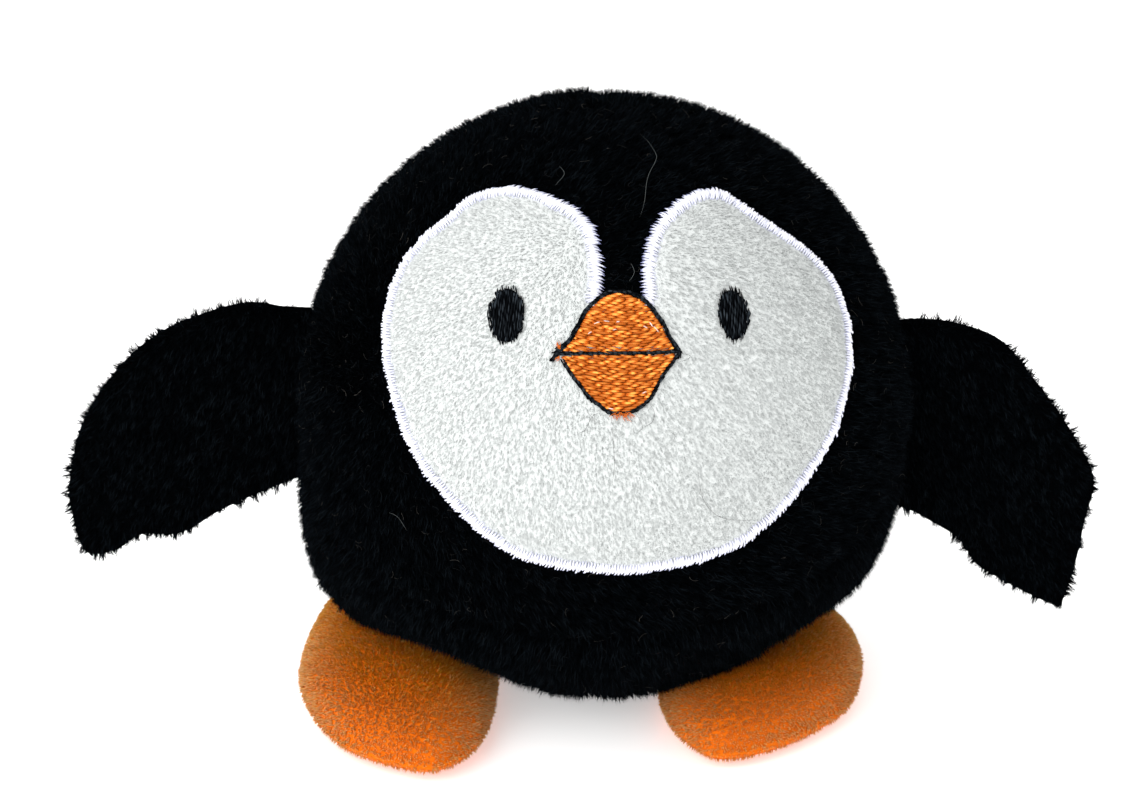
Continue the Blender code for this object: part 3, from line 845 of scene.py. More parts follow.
under_front = (face_middles[:, 2] <= 0) & (face_middles[:, 1] < 0)
PILE_PARTS = (
    # part of a side panel, the faces it takes, seed, hairs per square mm
    ("upper", face_middles[:, 2] > 0, 20, 6.3),
    ("back", (face_middles[:, 2] <= 0) & ~under_front, 22, 4.8),
    ("front", under_front, 24, 7.5),
)
for step, (side, wanted) in enumerate((("left", is_left), ("right", ~is_left))):
    for part, level, seed, hairs in PILE_PARTS:
        bed = panel_arrays(~is_front & ~is_base & wanted & level)
        grow_black(f"body_{side}_{part}_pile", *bed, side_nap, seed + step, hairs)
grow_black("body_base_pile", *panel_arrays(is_base), side_nap, 41, hairs=3.0)


# ---------------------------------------------------------------- fillings
# Loose polyester fibre fills the ball round a cloth pouch of pellets, which makes it sit upright.
# A felt oval behind the face keeps the embroidery from puckering. None of it shows.

STUFFING_DEPTH = 3.4 * MM
BACKING_MIDDLE = np.array((2.5, 4.5))
BACKING_HALF_SIZE = np.array((46.0, 37.0))
POUCH_DEPTH = 5.5 * MM
POUCH_NARROWING = 0.5
POUCH_FLATTENING = 0.97


def filled_ball(depth, rows=24, columns=36):
    """Places and faces of a rougher ball that far under the cover."""
    ways, faces = ring_net(np.linspace(0, math.pi, rows + 1)[1:-1], columns)
    lumps = 0.5 * MM * np.sin(ways @ np.array((9, 14, 7))) * np.sin(ways @ np.array((-12, 5, 11)))
    return middle + ways * (ball_reach(ways) - depth + lumps)[:, None], faces


fibre_fill = cloth_material("polyester_fibre", (0.72, 0.72, 0.7), (0.88, 0.88, 0.86), 400, 0.95)
pouch_cloth = cloth_material("pellet_pouch_cloth", (0.6, 0.6, 0.58), (0.74, 0.74, 0.72), 900, 0.8)
felt = cloth_material("backing_felt", (0.76, 0.76, 0.76), (0.86, 0.86, 0.86), 700, 0.9)

fill_places, fill_faces = filled_ball(STUFFING_DEPTH)
fill_mesh = cloth_mesh("body_fibre_filling", fill_places, fill_faces)
stuffing = add_piece("body_fibre_filling", fill_mesh, fibre_fill)
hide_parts("body_stuffing")
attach(stuffing, "body")

pouch_places, pouch_faces = filled_ball(POUCH_DEPTH)
pouch_places[:, :2] *= POUCH_NARROWING
pouch_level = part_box("pellet_pouch")[1].z
above = np.maximum(pouch_places[:, 2] - pouch_level, 0)
pouch_places[:, 2] -= POUCH_FLATTENING * above
pouch_mesh = cloth_mesh("pellet_pouch_cloth", pouch_places, pouch_faces)
pouch = add_piece("pellet_pouch_cloth", pouch_mesh, pouch_cloth)
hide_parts("pellet_pouch")
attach(pouch, "body")


def oval(centre, half_sizes, steps=32):
    turns = np.linspace(0, math.tau, steps, endpoint=False)
    return np.array(centre) + np.array(half_sizes) * np.stack((np.cos(turns), np.sin(turns)), 1)


backing_points, backing_faces = flat_net(oval(BACKING_MIDDLE, BACKING_HALF_SIZE, 64), 4)
backing = skin_piece(
    "embroidery_backing_felt",
    cloth_mesh("embroidery_backing_felt", on_ball(pattern_ways(backing_points), -1.2 * MM), backing_faces),
    felt, 0.4 * MM,
)
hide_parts("embroidery_backing")
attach(backing, "body")


# ---------------------------------------------------------------- face applique
# One piece of white short-pile plush, cut to two lobes and laid on the front panel.
# Its pile lies outwards from between the lobes, and it is cut away under the eyes and the beak.

APPLIQUE_INSET = 1.0
EYES = {"right": ((-19.1, 14.3), (3.25, 5.3)), "left": ((19.8, 13.7), (2.95, 4.9))}
UPPER_BEAK = (
    (-10.3, 7.6), (-8, 9.2), (-6.5, 11.8), (-5.2, 14.1), (-3.6, 15.7), (-1.9, 16.8), (0, 17.1),
    (1.9, 16.8), (3.6, 16), (4.9, 14.6), (7, 11.6), (7.9, 9.5), (9.4, 7.6),
)
LOWER_BEAK = (
    (9.3, 6.8), (8.4, 5.5), (7, 3.8), (5.8, 1.8), (4.8, -0.1), (3.5, -1.3), (1.6, -2.4),
    (-0.5, -2.6), (-2.1, -2.3), (-3.6, -1.2), (-5.3, 0.2), (-6.3, 1.7), (-7.5, 3.2), (-9.8, 6.8),
)
NAP_START = np.array((-4.0, 32.0))


upper_beak = smooth_line(UPPER_BEAK, 3)
lower_beak = smooth_line(LOWER_BEAK, 3)
beak_line = np.concatenate((upper_beak, lower_beak))
face_prints = [oval(*EYES["right"]), oval(*EYES["left"]), grown(beak_line, 0.3)]


def white_nap(pattern):
    """The nap of the face, as directions in space at pattern points."""
    lie = pattern - NAP_START
    field = lie[:, :1] * face_across + lie[:, 1:2] * face_up
    return laid_flat(unit(field), pattern_ways(pattern))


white_cloth = cloth_material("white_backing_cloth", (0.63, 0.66, 0.65), (0.69, 0.71, 0.70), 900, 0.9)
# Slightly darker at the roots as painted shade, with paler tips as painted glints.
white_pile = pile_material(
    "white_pile", (0.635, 0.67, 0.66), (0.67, 0.70, 0.69), (0.70, 0.72, 0.715),
    160, 0.03, 0.92, 0.95, 0.0, clearness=0.5,
)

applique_line = grown(face_line, -APPLIQUE_INSET)
white_points, white_faces = flat_net(applique_line, 1.4, creases=face_prints)
white_edge, _ = nearest_edge(white_points, applique_line)
white_height = (0.5 + 0.5 * np.clip(white_edge / 4, 0, 1)) * MM
white_places = on_ball(pattern_ways(white_points), white_height)
applique = skin_piece(
    "face_white_plush", cloth_mesh("face_white_plush", white_places, white_faces), white_cloth, 0.5 * MM
)
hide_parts("face_applique")
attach(applique, "body")

white_middles = white_points[white_faces].mean(1)
bare = sum(inside(white_middles, loop) for loop in face_prints) > 0
bare |= nearest_edge(white_middles, applique_line)[0] < 1.1
for side, wanted in (("right", white_middles[:, 0] < 0.5), ("left", white_middles[:, 0] >= 0.5)):
    bed = cloth_mesh(
        f"face_{side}_pile", white_places, white_faces[wanted & ~bare], comb=white_nap(white_points),
        long=0.55 + 0.45 * np.clip((white_edge - 1.2) / 2.5, 0, 1),
    )
    hair = made_by(
        pile, f"face_{side}_pile", bed, Seed=51 + len(side), Material=white_pile, Hairs_per_mm2=7.0,
        Length=0.75 * MM, Width=0.09 * MM, Lean=1.1, Ruffle=0.2, Swirl=0.4, Swirl_Scale=300.0,
        Tufts_per_mm2=1.3, Tuft_Pull=0.2, Tuft_Relief=0.1,
    )
    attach(hair, "body")


# ---------------------------------------------------------------- satin border of the face
# White thread laid side by side across the edge of the applique, over a padding strip,
# so that it covers the cut edge with a low rounded ridge.

BORDER_SPACING = 0.27
BORDER_HEIGHT = 0.75 * MM
BORDER_INSET = 1.4
PADDING_WIDTH = 1.9
PADDING_HEIGHT = 1.0 * MM


def thread_tree():
    """Lays a thread along every edge of a mesh whose points hold out, the way they face, and heft."""
    tree, given, end = new_tree("laid_thread", (
        ("Thickness", "Float", 0.36 * MM), ("Rise", "Float", 0.5 * MM), ("Overlap", "Float", 1.06),
        ("Uneven", "Float", 0.08), ("Turn", "Float", 0.06), ("Taper", "Float", 0.4), ("Seed", "Int", 1),
        ("Material", "Material", None),
    ))
    ends = add_node(tree, "GeometryNodeInputMeshEdgeVertices").outputs
    run = vector(tree, "SUBTRACT", ends["Position 2"], ends["Position 1"])
    holes = given["Geometry"]
    for label, kind, value in (
        ("run", "FLOAT_VECTOR", run), ("facing", "FLOAT_VECTOR", mark(tree, "out", "FLOAT_VECTOR")),
        ("weight", "FLOAT", mark(tree, "heft", "FLOAT")),
    ):
        holes = stored(tree, holes, label, kind, "EDGE", value)
    stitches = add_node(tree, "GeometryNodeMeshToPoints", {"mode": "EDGES"}, {"Mesh": holes}).outputs[0]
    run = mark(tree, "run", "FLOAT_VECTOR")
    laid = add_node(
        tree, "FunctionNodeAxesToRotation", {"primary_axis": "Z", "secondary_axis": "X"},
        {0: mark(tree, "facing", "FLOAT_VECTOR"), 1: run},
    ).outputs[0]
    turn = random_number(tree, -1.0, 1.0, 3)
    swing = as_rotation(tree, combined(tree, Z=calculate(tree, "MULTIPLY", turn, given["Turn"])))
    laid = add_node(
        tree, "FunctionNodeRotateRotation", {"rotation_space": "LOCAL"}, {0: laid, 1: swing}
    ).outputs[0]
    uneven = calculate(tree, "MULTIPLY_ADD", random_number(tree, -1.0, 1.0, 5), given["Uneven"], 1.0)
    length = calculate(tree, "MULTIPLY", vector(tree, "LENGTH", run), given["Overlap"])
    length = calculate(tree, "MULTIPLY", length, uneven)
    weight = calculate(tree, "MULTIPLY", mark(tree, "weight", "FLOAT"), random_number(tree, 0.88, 1.12, 8))
    size = combined(tree, X=length, Y=weight, Z=weight)

    rod = add_node(tree, "GeometryNodeMeshCylinder", {"fill_type": "NGON"}, {
        "Vertices": 6, "Side Segments": 5, "Radius": calculate(tree, "MULTIPLY", given["Thickness"], 0.5),
        "Depth": 1.0,
    }).outputs["Mesh"]
    rod = add_node(
        tree, "GeometryNodeTransform", inputs={"Geometry": rod, "Rotation": (0, math.pi / 2, 0)}
    ).outputs[0]
    place = add_node(tree, "GeometryNodeInputPosition").outputs[0]
    parts = add_node(tree, "ShaderNodeSeparateXYZ", inputs={0: place}).outputs
    square = calculate(tree, "MULTIPLY", calculate(tree, "MULTIPLY", parts["X"], parts["X"]), 4.0)
    taper = calculate(tree, "MULTIPLY", calculate(tree, "MULTIPLY", square, square), given["Taper"])
    thin = calculate(tree, "SUBTRACT", 1.0, taper)
    arch = calculate(tree, "MULTIPLY", calculate(tree, "SUBTRACT", 1.0, square), given["Rise"])
    rod = stored(tree, rod, "along", "FLOAT", "POINT", calculate(tree, "ADD", parts["X"], 0.5))
    arched = combined(
        tree, X=parts["X"], Y=calculate(tree, "MULTIPLY", parts["Y"], thin),
        Z=calculate(tree, "MULTIPLY_ADD", parts["Z"], thin, arch),
    )
    rod = add_node(
        tree, "GeometryNodeSetPosition", inputs={"Geometry": rod, "Position": arched}
    ).outputs[0]
    marks = (("tone", "FLOAT", random_number(tree, 0.0, 1.0, 13)),)
    return set_out(
        tree, end, given["Material"], marks, Points=stitches, Instance=rod, Rotation=laid, Scale=size
    )


thread = thread_tree()


def thread_colour_group():
    """Shader group: the colour of laid thread, with painted shade where it dips into its needle holes, a
    painted highlight along its crest, and a random tone for each stitch.
    """
    tree, given, end = shader_group(
        "thread_colour", ("Hole", "Thread", "Shine"), ("Shade Spread", "Far Hole"), (("Color", "Color"),)
    )
    along, tone = kept_mark(tree, "along"), kept_mark(tree, "tone")
    near = calculate(tree, "SUBTRACT", 0.5, along)
    far = calculate(tree, "MULTIPLY", calculate(tree, "SUBTRACT", along, 0.5), given["Far Hole"])
    off_middle = calculate(tree, "MAXIMUM", near, far)
    # From the painted shade at the holes to the thread's own colour, then a painted highlight along the
    # crest.
    crest = mapped(tree, off_middle, 0.5, 0.3)
    shine = calculate(tree, "MULTIPLY", mapped(tree, off_middle, 0.26, 0.08), tone)
    base = mixed_colour(tree, crest, given["Hole"], given["Thread"])
    lit = mixed_colour(tree, shine, base, given["Shine"])
    centred = calculate(tree, "SUBTRACT", tone, 0.5)
    value = calculate(tree, "MULTIPLY_ADD", centred, given["Shade Spread"], 1.0)
    tree.links.new(shaded(tree, lit, value), end["Color"])
    return tree


thread_colour = thread_colour_group()


def thread_material(name, hole_shade, colour, shine, spread, roughness, specular, far_end_shade=1.0):
    """A material for embroidery thread. The hole colour is painted shade at its ends, the shine a painted
    highlight on its crest, and the last number how deep the painted shade gets at a stitch's second end.
    """
    made, tree, shader = new_material(name, roughness, specular)
    group = add_node(tree, "ShaderNodeGroup", {"node_tree": thread_colour}, {
        "Hole": (*hole_shade, 1), "Thread": (*colour, 1), "Shine": (*shine, 1), "Shade Spread": spread,
        "Far Hole": far_end_shade,
    })
    tree.links.new(group.outputs["Color"], shader.inputs["Base Color"])
    return made


def laid_threads(name, starts, stops, heights, material, seed, heft=1.0, **values):
    """Threads between pairs of pattern points, at heights in metres over the ball's cloth."""
    ways = pattern_ways(np.concatenate((starts, stops)))
    heights = np.concatenate((heights, heights)) if np.ndim(heights) else heights
    return threads_over(name, ways, heights, material, seed, heft, **values)


def threads_over(name, ways, heights, material, seed, heft=1.0, **values):
    """Threads over the ball, from each of the first half of the ways to its fellow in the second half."""
    count = len(ways) // 2
    places = on_ball(ways, heights)
    mesh = bpy.data.meshes.new(name)
    mesh.from_pydata([tuple(place) for place in places], [(n, n + count) for n in range(count)], [])
    out = mesh.attributes.new("out", "FLOAT_VECTOR", "POINT")
    out.data.foreach_set("vector", ways.astype(np.float32).ravel())
    weights = np.concatenate((np.broadcast_to(heft, count),) * 2).astype(np.float32)
    mesh.attributes.new("heft", "FLOAT", "POINT").data.foreach_set("value", weights)
    made = made_by(thread, name, mesh, Seed=seed, Material=material, **values)
    made.data.shade_smooth()
    return made


def stations(line, spacing, closed=False):
    """Evenly spaced places on a flat line, with their unit run and their side."""
    if closed:
        line = np.concatenate((line, line[:1]))
    steps = np.linalg.norm(np.diff(line, axis=0), axis=1)
    travelled = np.concatenate(([0], np.cumsum(steps)))
    count = max(int(round(travelled[-1] / spacing)), 1)
    wanted = np.arange(count) * travelled[-1] / count if closed else np.linspace(0, travelled[-1], count + 1)

    def places_at(way):
        return np.stack([np.interp(way, travelled, line[:, axis]) for axis in (0, 1)], 1)

    run = unit(places_at(wanted + 0.2) - places_at(wanted - 0.2))
    return places_at(wanted), run, np.stack((run[:, 1], -run[:, 0]), 1)


def joined(name, *parts):
    """One piece from several, which keep their materials."""
    body = bmesh.new()
    materials = []
    for part in parts:
        start = len(body.faces)
        body.from_mesh(part.data)
        body.faces.ensure_lookup_table()
        first = len(materials)
        materials += list(part.data.materials)
        for face in body.faces[start:]:
            face.material_index += first
        bpy.data.objects.remove(part)
    mesh = bpy.data.meshes.new(name)
    body.to_mesh(mesh)
    body.free()
    made = add_piece(name, mesh)
    for material in materials:
        mesh.materials.append(material)
    return made


# Bluish lilac at the ends as painted shade, near white along the crest as painted highlight.
white_thread = thread_material(
    "white_thread", (0.36, 0.39, 0.78), (0.76, 0.77, 0.88), (0.95, 0.94, 0.98), 0.2, 0.5, 0.1, 0.86
)
# The padding is lilac grey and darker than the thread: painted shade where it shows between the threads.
shaded_padding = cloth_material("border_padding", (0.52, 0.53, 0.68), (0.64, 0.65, 0.78), 900, 0.8)

dice = np.random.default_rng(8)
border_line = grown(face_line, -BORDER_INSET)
border_places, border_run, border_side = stations(border_line, BORDER_SPACING, closed=True)
near_top = np.exp(-(((np.abs(border_places[:, 0] - 2) - 14) / 15) ** 2)) * (border_places[:, 1] > 14)
far_left = np.exp(-(((border_places - np.array((47, 4))) / np.array((10, 20))) ** 2).sum(1))
border_width = 2.5 + 0.4 * near_top - 0.4 * far_left
in_turn = np.where(np.arange(len(border_places)) % 2, 0.12, -0.1)
reach_out = (border_width / 2 - 0.05 + in_turn + dice.normal(0, 0.19, len(border_places)))[:, None]
reach_in = (border_width / 2 - in_turn + dice.normal(0, 0.15, len(border_places)))[:, None]
slant = border_run * (BORDER_SPACING * 0.5 + np.where(in_turn > 0, 0.22, -0.1))[:, None]
border_threads = laid_threads(
    "border_threads", border_places + border_side * reach_out - slant,
    border_places - border_side * reach_in + slant, 0.4 * MM, white_thread, 61,
    Thickness=0.34 * MM, Rise=BORDER_HEIGHT, Turn=0.14, Uneven=0.06, Taper=0.85,
)


def closed_piece(name, points, faces, material):
    """A piece from a closed mesh, with its faces turned outwards."""
    mesh = bpy.data.meshes.new(name)
    mesh.from_pydata([tuple(point) for point in points], [], faces)
    body = bmesh.new()
    body.from_mesh(mesh)
    bmesh.ops.recalc_face_normals(body, faces=body.faces)
    body.to_mesh(mesh)
    body.free()
    mesh.shade_smooth()
    return add_piece(name, mesh, material)


def padding_strip(name, places, side, width, height, material):
    """A low rounded strip round a closed line of pattern points."""
    section = ((-0.92, 0.1), (-0.6, 0.72), (0, 1), (0.6, 0.72), (0.92, 0.1), (0, -0.2))
    rings = [
        on_ball(pattern_ways(places + side * (width / 2 * across)), height * up)
        for across, up in section
    ]
    points = np.stack(rings, 1).reshape(-1, 3)
    count, around = len(places), len(section)
    faces = [
        (a * around + b, a * around + (b + 1) % around,
         (a + 1) % count * around + (b + 1) % around, (a + 1) % count * around + b)
        for a in range(count) for b in range(around)
    ]
    return closed_piece(name, points, faces, material)


padding_places, _, padding_side = stations(border_line, 1.2, closed=True)
padding = padding_strip(
    "border_padding", padding_places, padding_side, PADDING_WIDTH, PADDING_HEIGHT, shaded_padding
)
border = joined("face_border_threads", border_threads, padding)
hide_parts("face_satin_border")
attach(border, "body")


# ---------------------------------------------------------------- eyes
# Ovals of black thread in upright rows, their ends uneven where the white pile reaches over them.

EYE_HEIGHT = 0.95 * MM
EYE_DOME = 0.45 * MM
# Grey along the crest as painted highlight, darker at the ends as painted shade.
black_thread = thread_material(
    "black_thread", (0.0003, 0.0003, 0.0005), (0.0012, 0.0016, 0.0024), (0.026, 0.033, 0.040), 0.6, 0.5, 0.01
)


def dome_piece(name, loop, base, dome, material):
    """A low closed dome over a flat loop, for stitches to lie on."""
    points, faces = flat_net(loop, 1.0)
    edge, _ = nearest_edge(points, loop)
    rise = base + dome * np.sqrt(np.clip(edge / max(edge.max(), 0.1), 0, 1))
    mesh = cloth_mesh(name, on_ball(pattern_ways(points), rise), faces)
    return skin_piece(name, mesh, material, 0.5 * MM)


for side, (centre, half_sizes) in EYES.items():
    centre, half_sizes = np.array(centre), np.array(half_sizes)
    starts, stops = [], []
    for column, x in enumerate(np.arange(-half_sizes[0] + 0.1, half_sizes[0], 0.2)):
        half_height = half_sizes[1] * math.sqrt(max(1 - (x / half_sizes[0]) ** 2, 0.02))
        top_end = half_height + dice.uniform(-0.8, 0.4)
        low_end = -half_height + dice.uniform(-0.4, 0.7)
        first = -8 + 0.67 * (column * 2 % 5) + dice.uniform(-0.3, 0.3)
        between = [y for y in np.arange(first, 8, 3.3) if low_end + 0.7 < y < top_end - 0.7]
        marks = [low_end, *between, top_end]
        for start, stop in zip(marks, marks[1:]):
            starts.append(centre + (x + dice.uniform(-0.06, 0.06), start))
            stops.append(centre + (x + dice.uniform(-0.06, 0.06), stop))
    eye_threads = laid_threads(
        f"{side}_eye_threads", np.array(starts), np.array(stops), EYE_HEIGHT + EYE_DOME * 0.8,
        black_thread, 70, Thickness=0.26 * MM, Rise=0.22 * MM, Turn=0.1, Taper=0.85,
    )
    eye_oval = oval(centre, half_sizes * 0.93)
    base = dome_piece(f"{side}_eye_base", eye_oval, EYE_HEIGHT, EYE_DOME, black_cloth)
    eye = joined(f"{side}_eye_stitches", eye_threads, base)
    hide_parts(f"{side}_eye_embroidery")
    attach(eye, "body")


# ---------------------------------------------------------------- beak
# Orange thread in rows that sag towards their middle, each row cut into short stitches that start
# beside their neighbours' middles, then a black outline and mouth line sewn over their ends.

BEAK_HEIGHT = 1.0 * MM
BEAK_DOME = 0.6 * MM
ROW_SPACING = 0.40
ROW_SAG = 0.017
STITCH_LENGTH = 2.0
# Dark red at the needle holes as painted shade, yellow along the crest as painted highlight.
orange_thread = thread_material(
    "orange_thread", (0.30, 0.05, 0.003), (0.55, 0.117, 0.006), (0.93, 0.39, 0.075), 0.5, 0.4, 0.15
)
# Darker at the holes as painted shade and paler on the crest as painted highlight.
bobbin_thread = thread_material(
    "bobbin_thread", (0.60, 0.25, 0.12), (0.80, 0.58, 0.50), (0.85, 0.70, 0.66), 0.3, 0.5, 0.1
)
BOBBIN_SLIPS = (
    # pale thread from the wrong side, peeping out between the rows
    ((-4.3, 12.0), (-3.2, 12.3)), ((-2.9, 12.5), (-1.6, 12.3)), ((-0.9, 12.2), (0.3, 12.3)),
    ((4.9, 12.2), (5.4, 11.3)), ((5.6, 11.5), (6.4, 10.4)), ((3.8, 11.5), (4.6, 11.0)),
    ((-5.3, 10.3), (-4.5, 10.8)), ((-1.2, 10.9), (-0.5, 11.0)), ((-2.2, -1.9), (-1.3, -2.1)),
    ((3.4, 0.4), (4.1, 0.7)),
)
# The cloth under the stitches is a deeper orange than the thread: painted shade in the gaps between them.
shaded_beak_base = cloth_material("beak_base_cloth", (0.24, 0.05, 0.006), (0.36, 0.085, 0.01), 900, 0.8)


def beak_rise(points, loop):
    """Height over the ball's cloth of the beak's padding at pattern points."""
    edge, _ = nearest_edge(points, loop)
    edge = np.where(inside(points, loop), edge, 0)
    return BEAK_HEIGHT + BEAK_DOME * np.sqrt(np.clip(edge / 5, 0, 1))


for name, loop in (("upper", upper_beak), ("lower", lower_beak)):
    starts, stops = [], []
    for row, level in enumerate(np.arange(loop[:, 1].min() - 3, loop[:, 1].max() + 1, ROW_SPACING)):
        x = np.arange(-12, 12, 0.05)
        line = np.stack((x, level + ROW_SAG * (x - 0.4) ** 2), 1)
        held = line[inside(line, loop)]
        if len(held) < 8:
            continue
        first, last = held[0, 0] - 0.1, held[-1, 0] + 0.1
        offset = (row * 0.37) % 1 * STITCH_LENGTH
        cuts = [first] + [
            cut + dice.uniform(-0.4, 0.4) for cut in np.arange(-14 + offset, 14, STITCH_LENGTH)
            if first + 0.6 < cut < last - 0.6
        ] + [last]
        for start, stop in zip(cuts, cuts[1:]):
            starts.append((start, level + ROW_SAG * (start - 0.4) ** 2 + dice.uniform(-0.09, 0.09)))
            stops.append((stop, level + ROW_SAG * (stop - 0.4) ** 2 + dice.uniform(-0.09, 0.09)))
    starts, stops = np.array(starts), np.array(stops)
    rise = beak_rise((starts + stops) / 2, loop)
    beak_threads = laid_threads(
        f"beak_{name}_threads", starts, stops, rise, orange_thread, 80 + len(name) + loop.shape[0],
        Thickness=0.44 * MM, Rise=0.28 * MM, Turn=0.08, Uneven=0.04, Overlap=1.1,
    )
    base_points, base_faces = flat_net(loop, 1.0)
    base_places = on_ball(pattern_ways(base_points), beak_rise(base_points, loop))
    base = skin_piece(
        f"beak_{name}_base", cloth_mesh(f"beak_{name}_base", base_places, base_faces), shaded_beak_base, 0.6 * MM
    )
    slips = np.array([slip for slip in BOBBIN_SLIPS if inside(np.array(slip[:1]), loop)[0]])
    bobbin = laid_threads(
        f"beak_{name}_bobbin", slips[:, 0], slips[:, 1], BEAK_HEIGHT + BEAK_DOME * 0.8 + 0.16 * MM,
        bobbin_thread, 88, Thickness=0.2 * MM, Rise=0.2 * MM,
    )
    beak = joined(f"beak_{name}_stitches", beak_threads, bobbin, base)
    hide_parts(f"beak_{name}")
    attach(beak, "body")


OUTLINE_STRANDS = (
    # path, strand offsets in mm, thread heft
    (grown(beak_line, 0.4)[1:len(upper_beak) - 1], (-0.12, 0.16), 1.0),
    (grown(beak_line, 0.2)[len(upper_beak) + 1:-1], (-0.12, 0.12), 0.85),
    (np.array(((-10.4, 7.3), (-5.7, 7.1), (0, 7), (5.6, 7.05), (9.4, 7.2))), (-0.1, 0.1), 0.85),
    (np.array(((-10.9, 6.6), (-10.3, 7.5), (-9.4, 8.2))), (-0.2, 0.0, 0.2), 0.9),
    (np.array(((9.7, 6.9), (9.6, 7.5), (9, 8.3))), (-0.2, 0.0, 0.2), 0.9),
)
starts, stops, hefts = [], [], []
for line, offsets, heft in OUTLINE_STRANDS:
    for offset in offsets:
        places, run, across = stations(line, 0.8)
        sway = dice.uniform(-0.07, 0.07, (len(places), 2))
        places = places + across * offset + sway
        slope = across * 0.14
        starts.append(places - run * 0.85 - slope)
        stops.append(places + run * 0.85 + slope)
        hefts.append(np.full(len(places), heft))
outline = laid_threads(
    "beak_outline_threads", np.concatenate(starts), np.concatenate(stops), BEAK_HEIGHT + 0.3 * MM,
    black_thread, 90, heft=np.concatenate(hefts), Thickness=0.36 * MM, Rise=0.22 * MM, Turn=0.1,
)
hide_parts("beak_outline_stitch")
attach(outline, "body")


# ---------------------------------------------------------------- wings
# Each wing is two layers of the black plush sewn round the edge and turned out, without stuffing.
# Its root is caught in the side seam, so the cloth bends there when the wing swings.

WING_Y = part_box("left_wing_front_panel")[1].y + 0.15 * MM
WING_INSET = 0.9
WING_ROOT_X = 51.5
WING_EDGE_HALF = 0.45 * MM
WING_PUFF = 0.6 * MM
WING_OUTLINES = {
    "right": (
        (-57.6, 75), (-64, 75.8), (-73, 73.4), (-82.2, 68.8), (-90.4, 60.6), (-96, 51.5),
        (-98.9, 40.3), (-98.7, 33.6), (-96.2, 25.8), (-90, 25.9), (-85, 29), (-77.5, 29.4),
        (-69, 34.4), (-57.6, 39.6),
    ),
    "left": (
        (57.6, 72.7), (64.5, 71.8), (72.8, 68.4), (79.6, 60.5), (87, 50.2), (91.6, 41),
        (90.3, 32), (89, 24), (86.4, 15.2), (83.2, 15.6), (75.6, 19.4), (69, 23.6),
        (65.5, 28.6), (57.6, 33.6),
    ),
}

for side, outline_points in WING_OUTLINES.items():
    sign = math.copysign(1, outline_points[0][0])
    line = smooth_line(outline_points, 6)
    top_root, low_root = line[0, 1], line[-1, 1]
    root_heights = (low_root + 2.5, (top_root + low_root) / 2, top_root - 0.5)
    line = np.concatenate((line, [(sign * WING_ROOT_X, height) for height in root_heights]))
    line = grown(line, -WING_INSET)
    flat_points, flat_faces = flat_net(line, 1.5)
    edge, _ = nearest_edge(flat_points, line)
    _, toward = nearest_edge(flat_points, grown(line, 0.6))
    by_root = np.abs(flat_points[:, 0]) < abs(WING_ROOT_X) + 1.5
    edge = np.where(by_root, 3.0, edge)
    half_thick = WING_EDGE_HALF + WING_PUFF * (1 - np.exp(-edge / 1.6))
    x, z = flat_points.T * MM
    wave = 0.8 * MM * np.sin((z - 0.04) * 95 + 1.0) * np.clip((np.abs(x) - 0.058) / 0.03, 0, 1)
    hinge = next(joint for joint in frame["joints"] if joint["name"] == f"{side}_wing_swing")["pos_m"]
    for layer, direction, hairs in (("front", -1, 13.0), ("back", 1, 8.0)):
        places = np.stack((x, WING_Y + wave + direction * half_thick, z), 1)
        outward = np.tile(np.array((0.0, direction, 0.0)), (len(places), 1))
        name = f"{side}_wing_{layer}"
        panel = skin_piece(
            name + "_plush", cloth_mesh(name + "_plush", places, flat_faces, outward), black_cloth, 0.4 * MM
        )
        spill = np.exp(-edge / 1.2)[:, None] * np.where(by_root, 0, 1)[:, None]
        lie = np.stack((np.full(len(x), sign * 0.4), np.zeros(len(x)), np.full(len(x), -1.0)), 1)
        to_edge = np.stack((toward[:, 0], np.zeros(len(x)), toward[:, 1]), 1)
        lie = unit(lie) * (1 - spill) + 1.2 * spill * to_edge
        bed = cloth_mesh(
            name + "_pile", places, flat_faces, outward, comb=lie,
            long=np.where(by_root, 0.5, 0.95) * np.ones(len(x)),
        )
        hair = made_by(
            pile, name + "_pile", bed, Seed=100 + len(name) + direction * 3, Material=black_pile,
            Hairs_per_mm2=hairs, Length=2.4 * MM, Lean=1.1, Ruffle=0.55, Tuft_Pull=0.85,
        )
        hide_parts(f"{side}_wing_{layer}_panel")
        for piece in (panel, hair):
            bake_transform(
                piece, "body", f"{side}_wing",
                start=(hinge[0] - sign * 4 * MM, WING_Y, hinge[2]),
                end=(hinge[0] + sign * 4 * MM, WING_Y, hinge[2]),
            )


# ---------------------------------------------------------------- feet
# Flat oval pads of orange velour: a domed top and a sole, joined by a seam that shows as a thin
# ridge low on the rim. The ball sits on their inner half and presses them down.

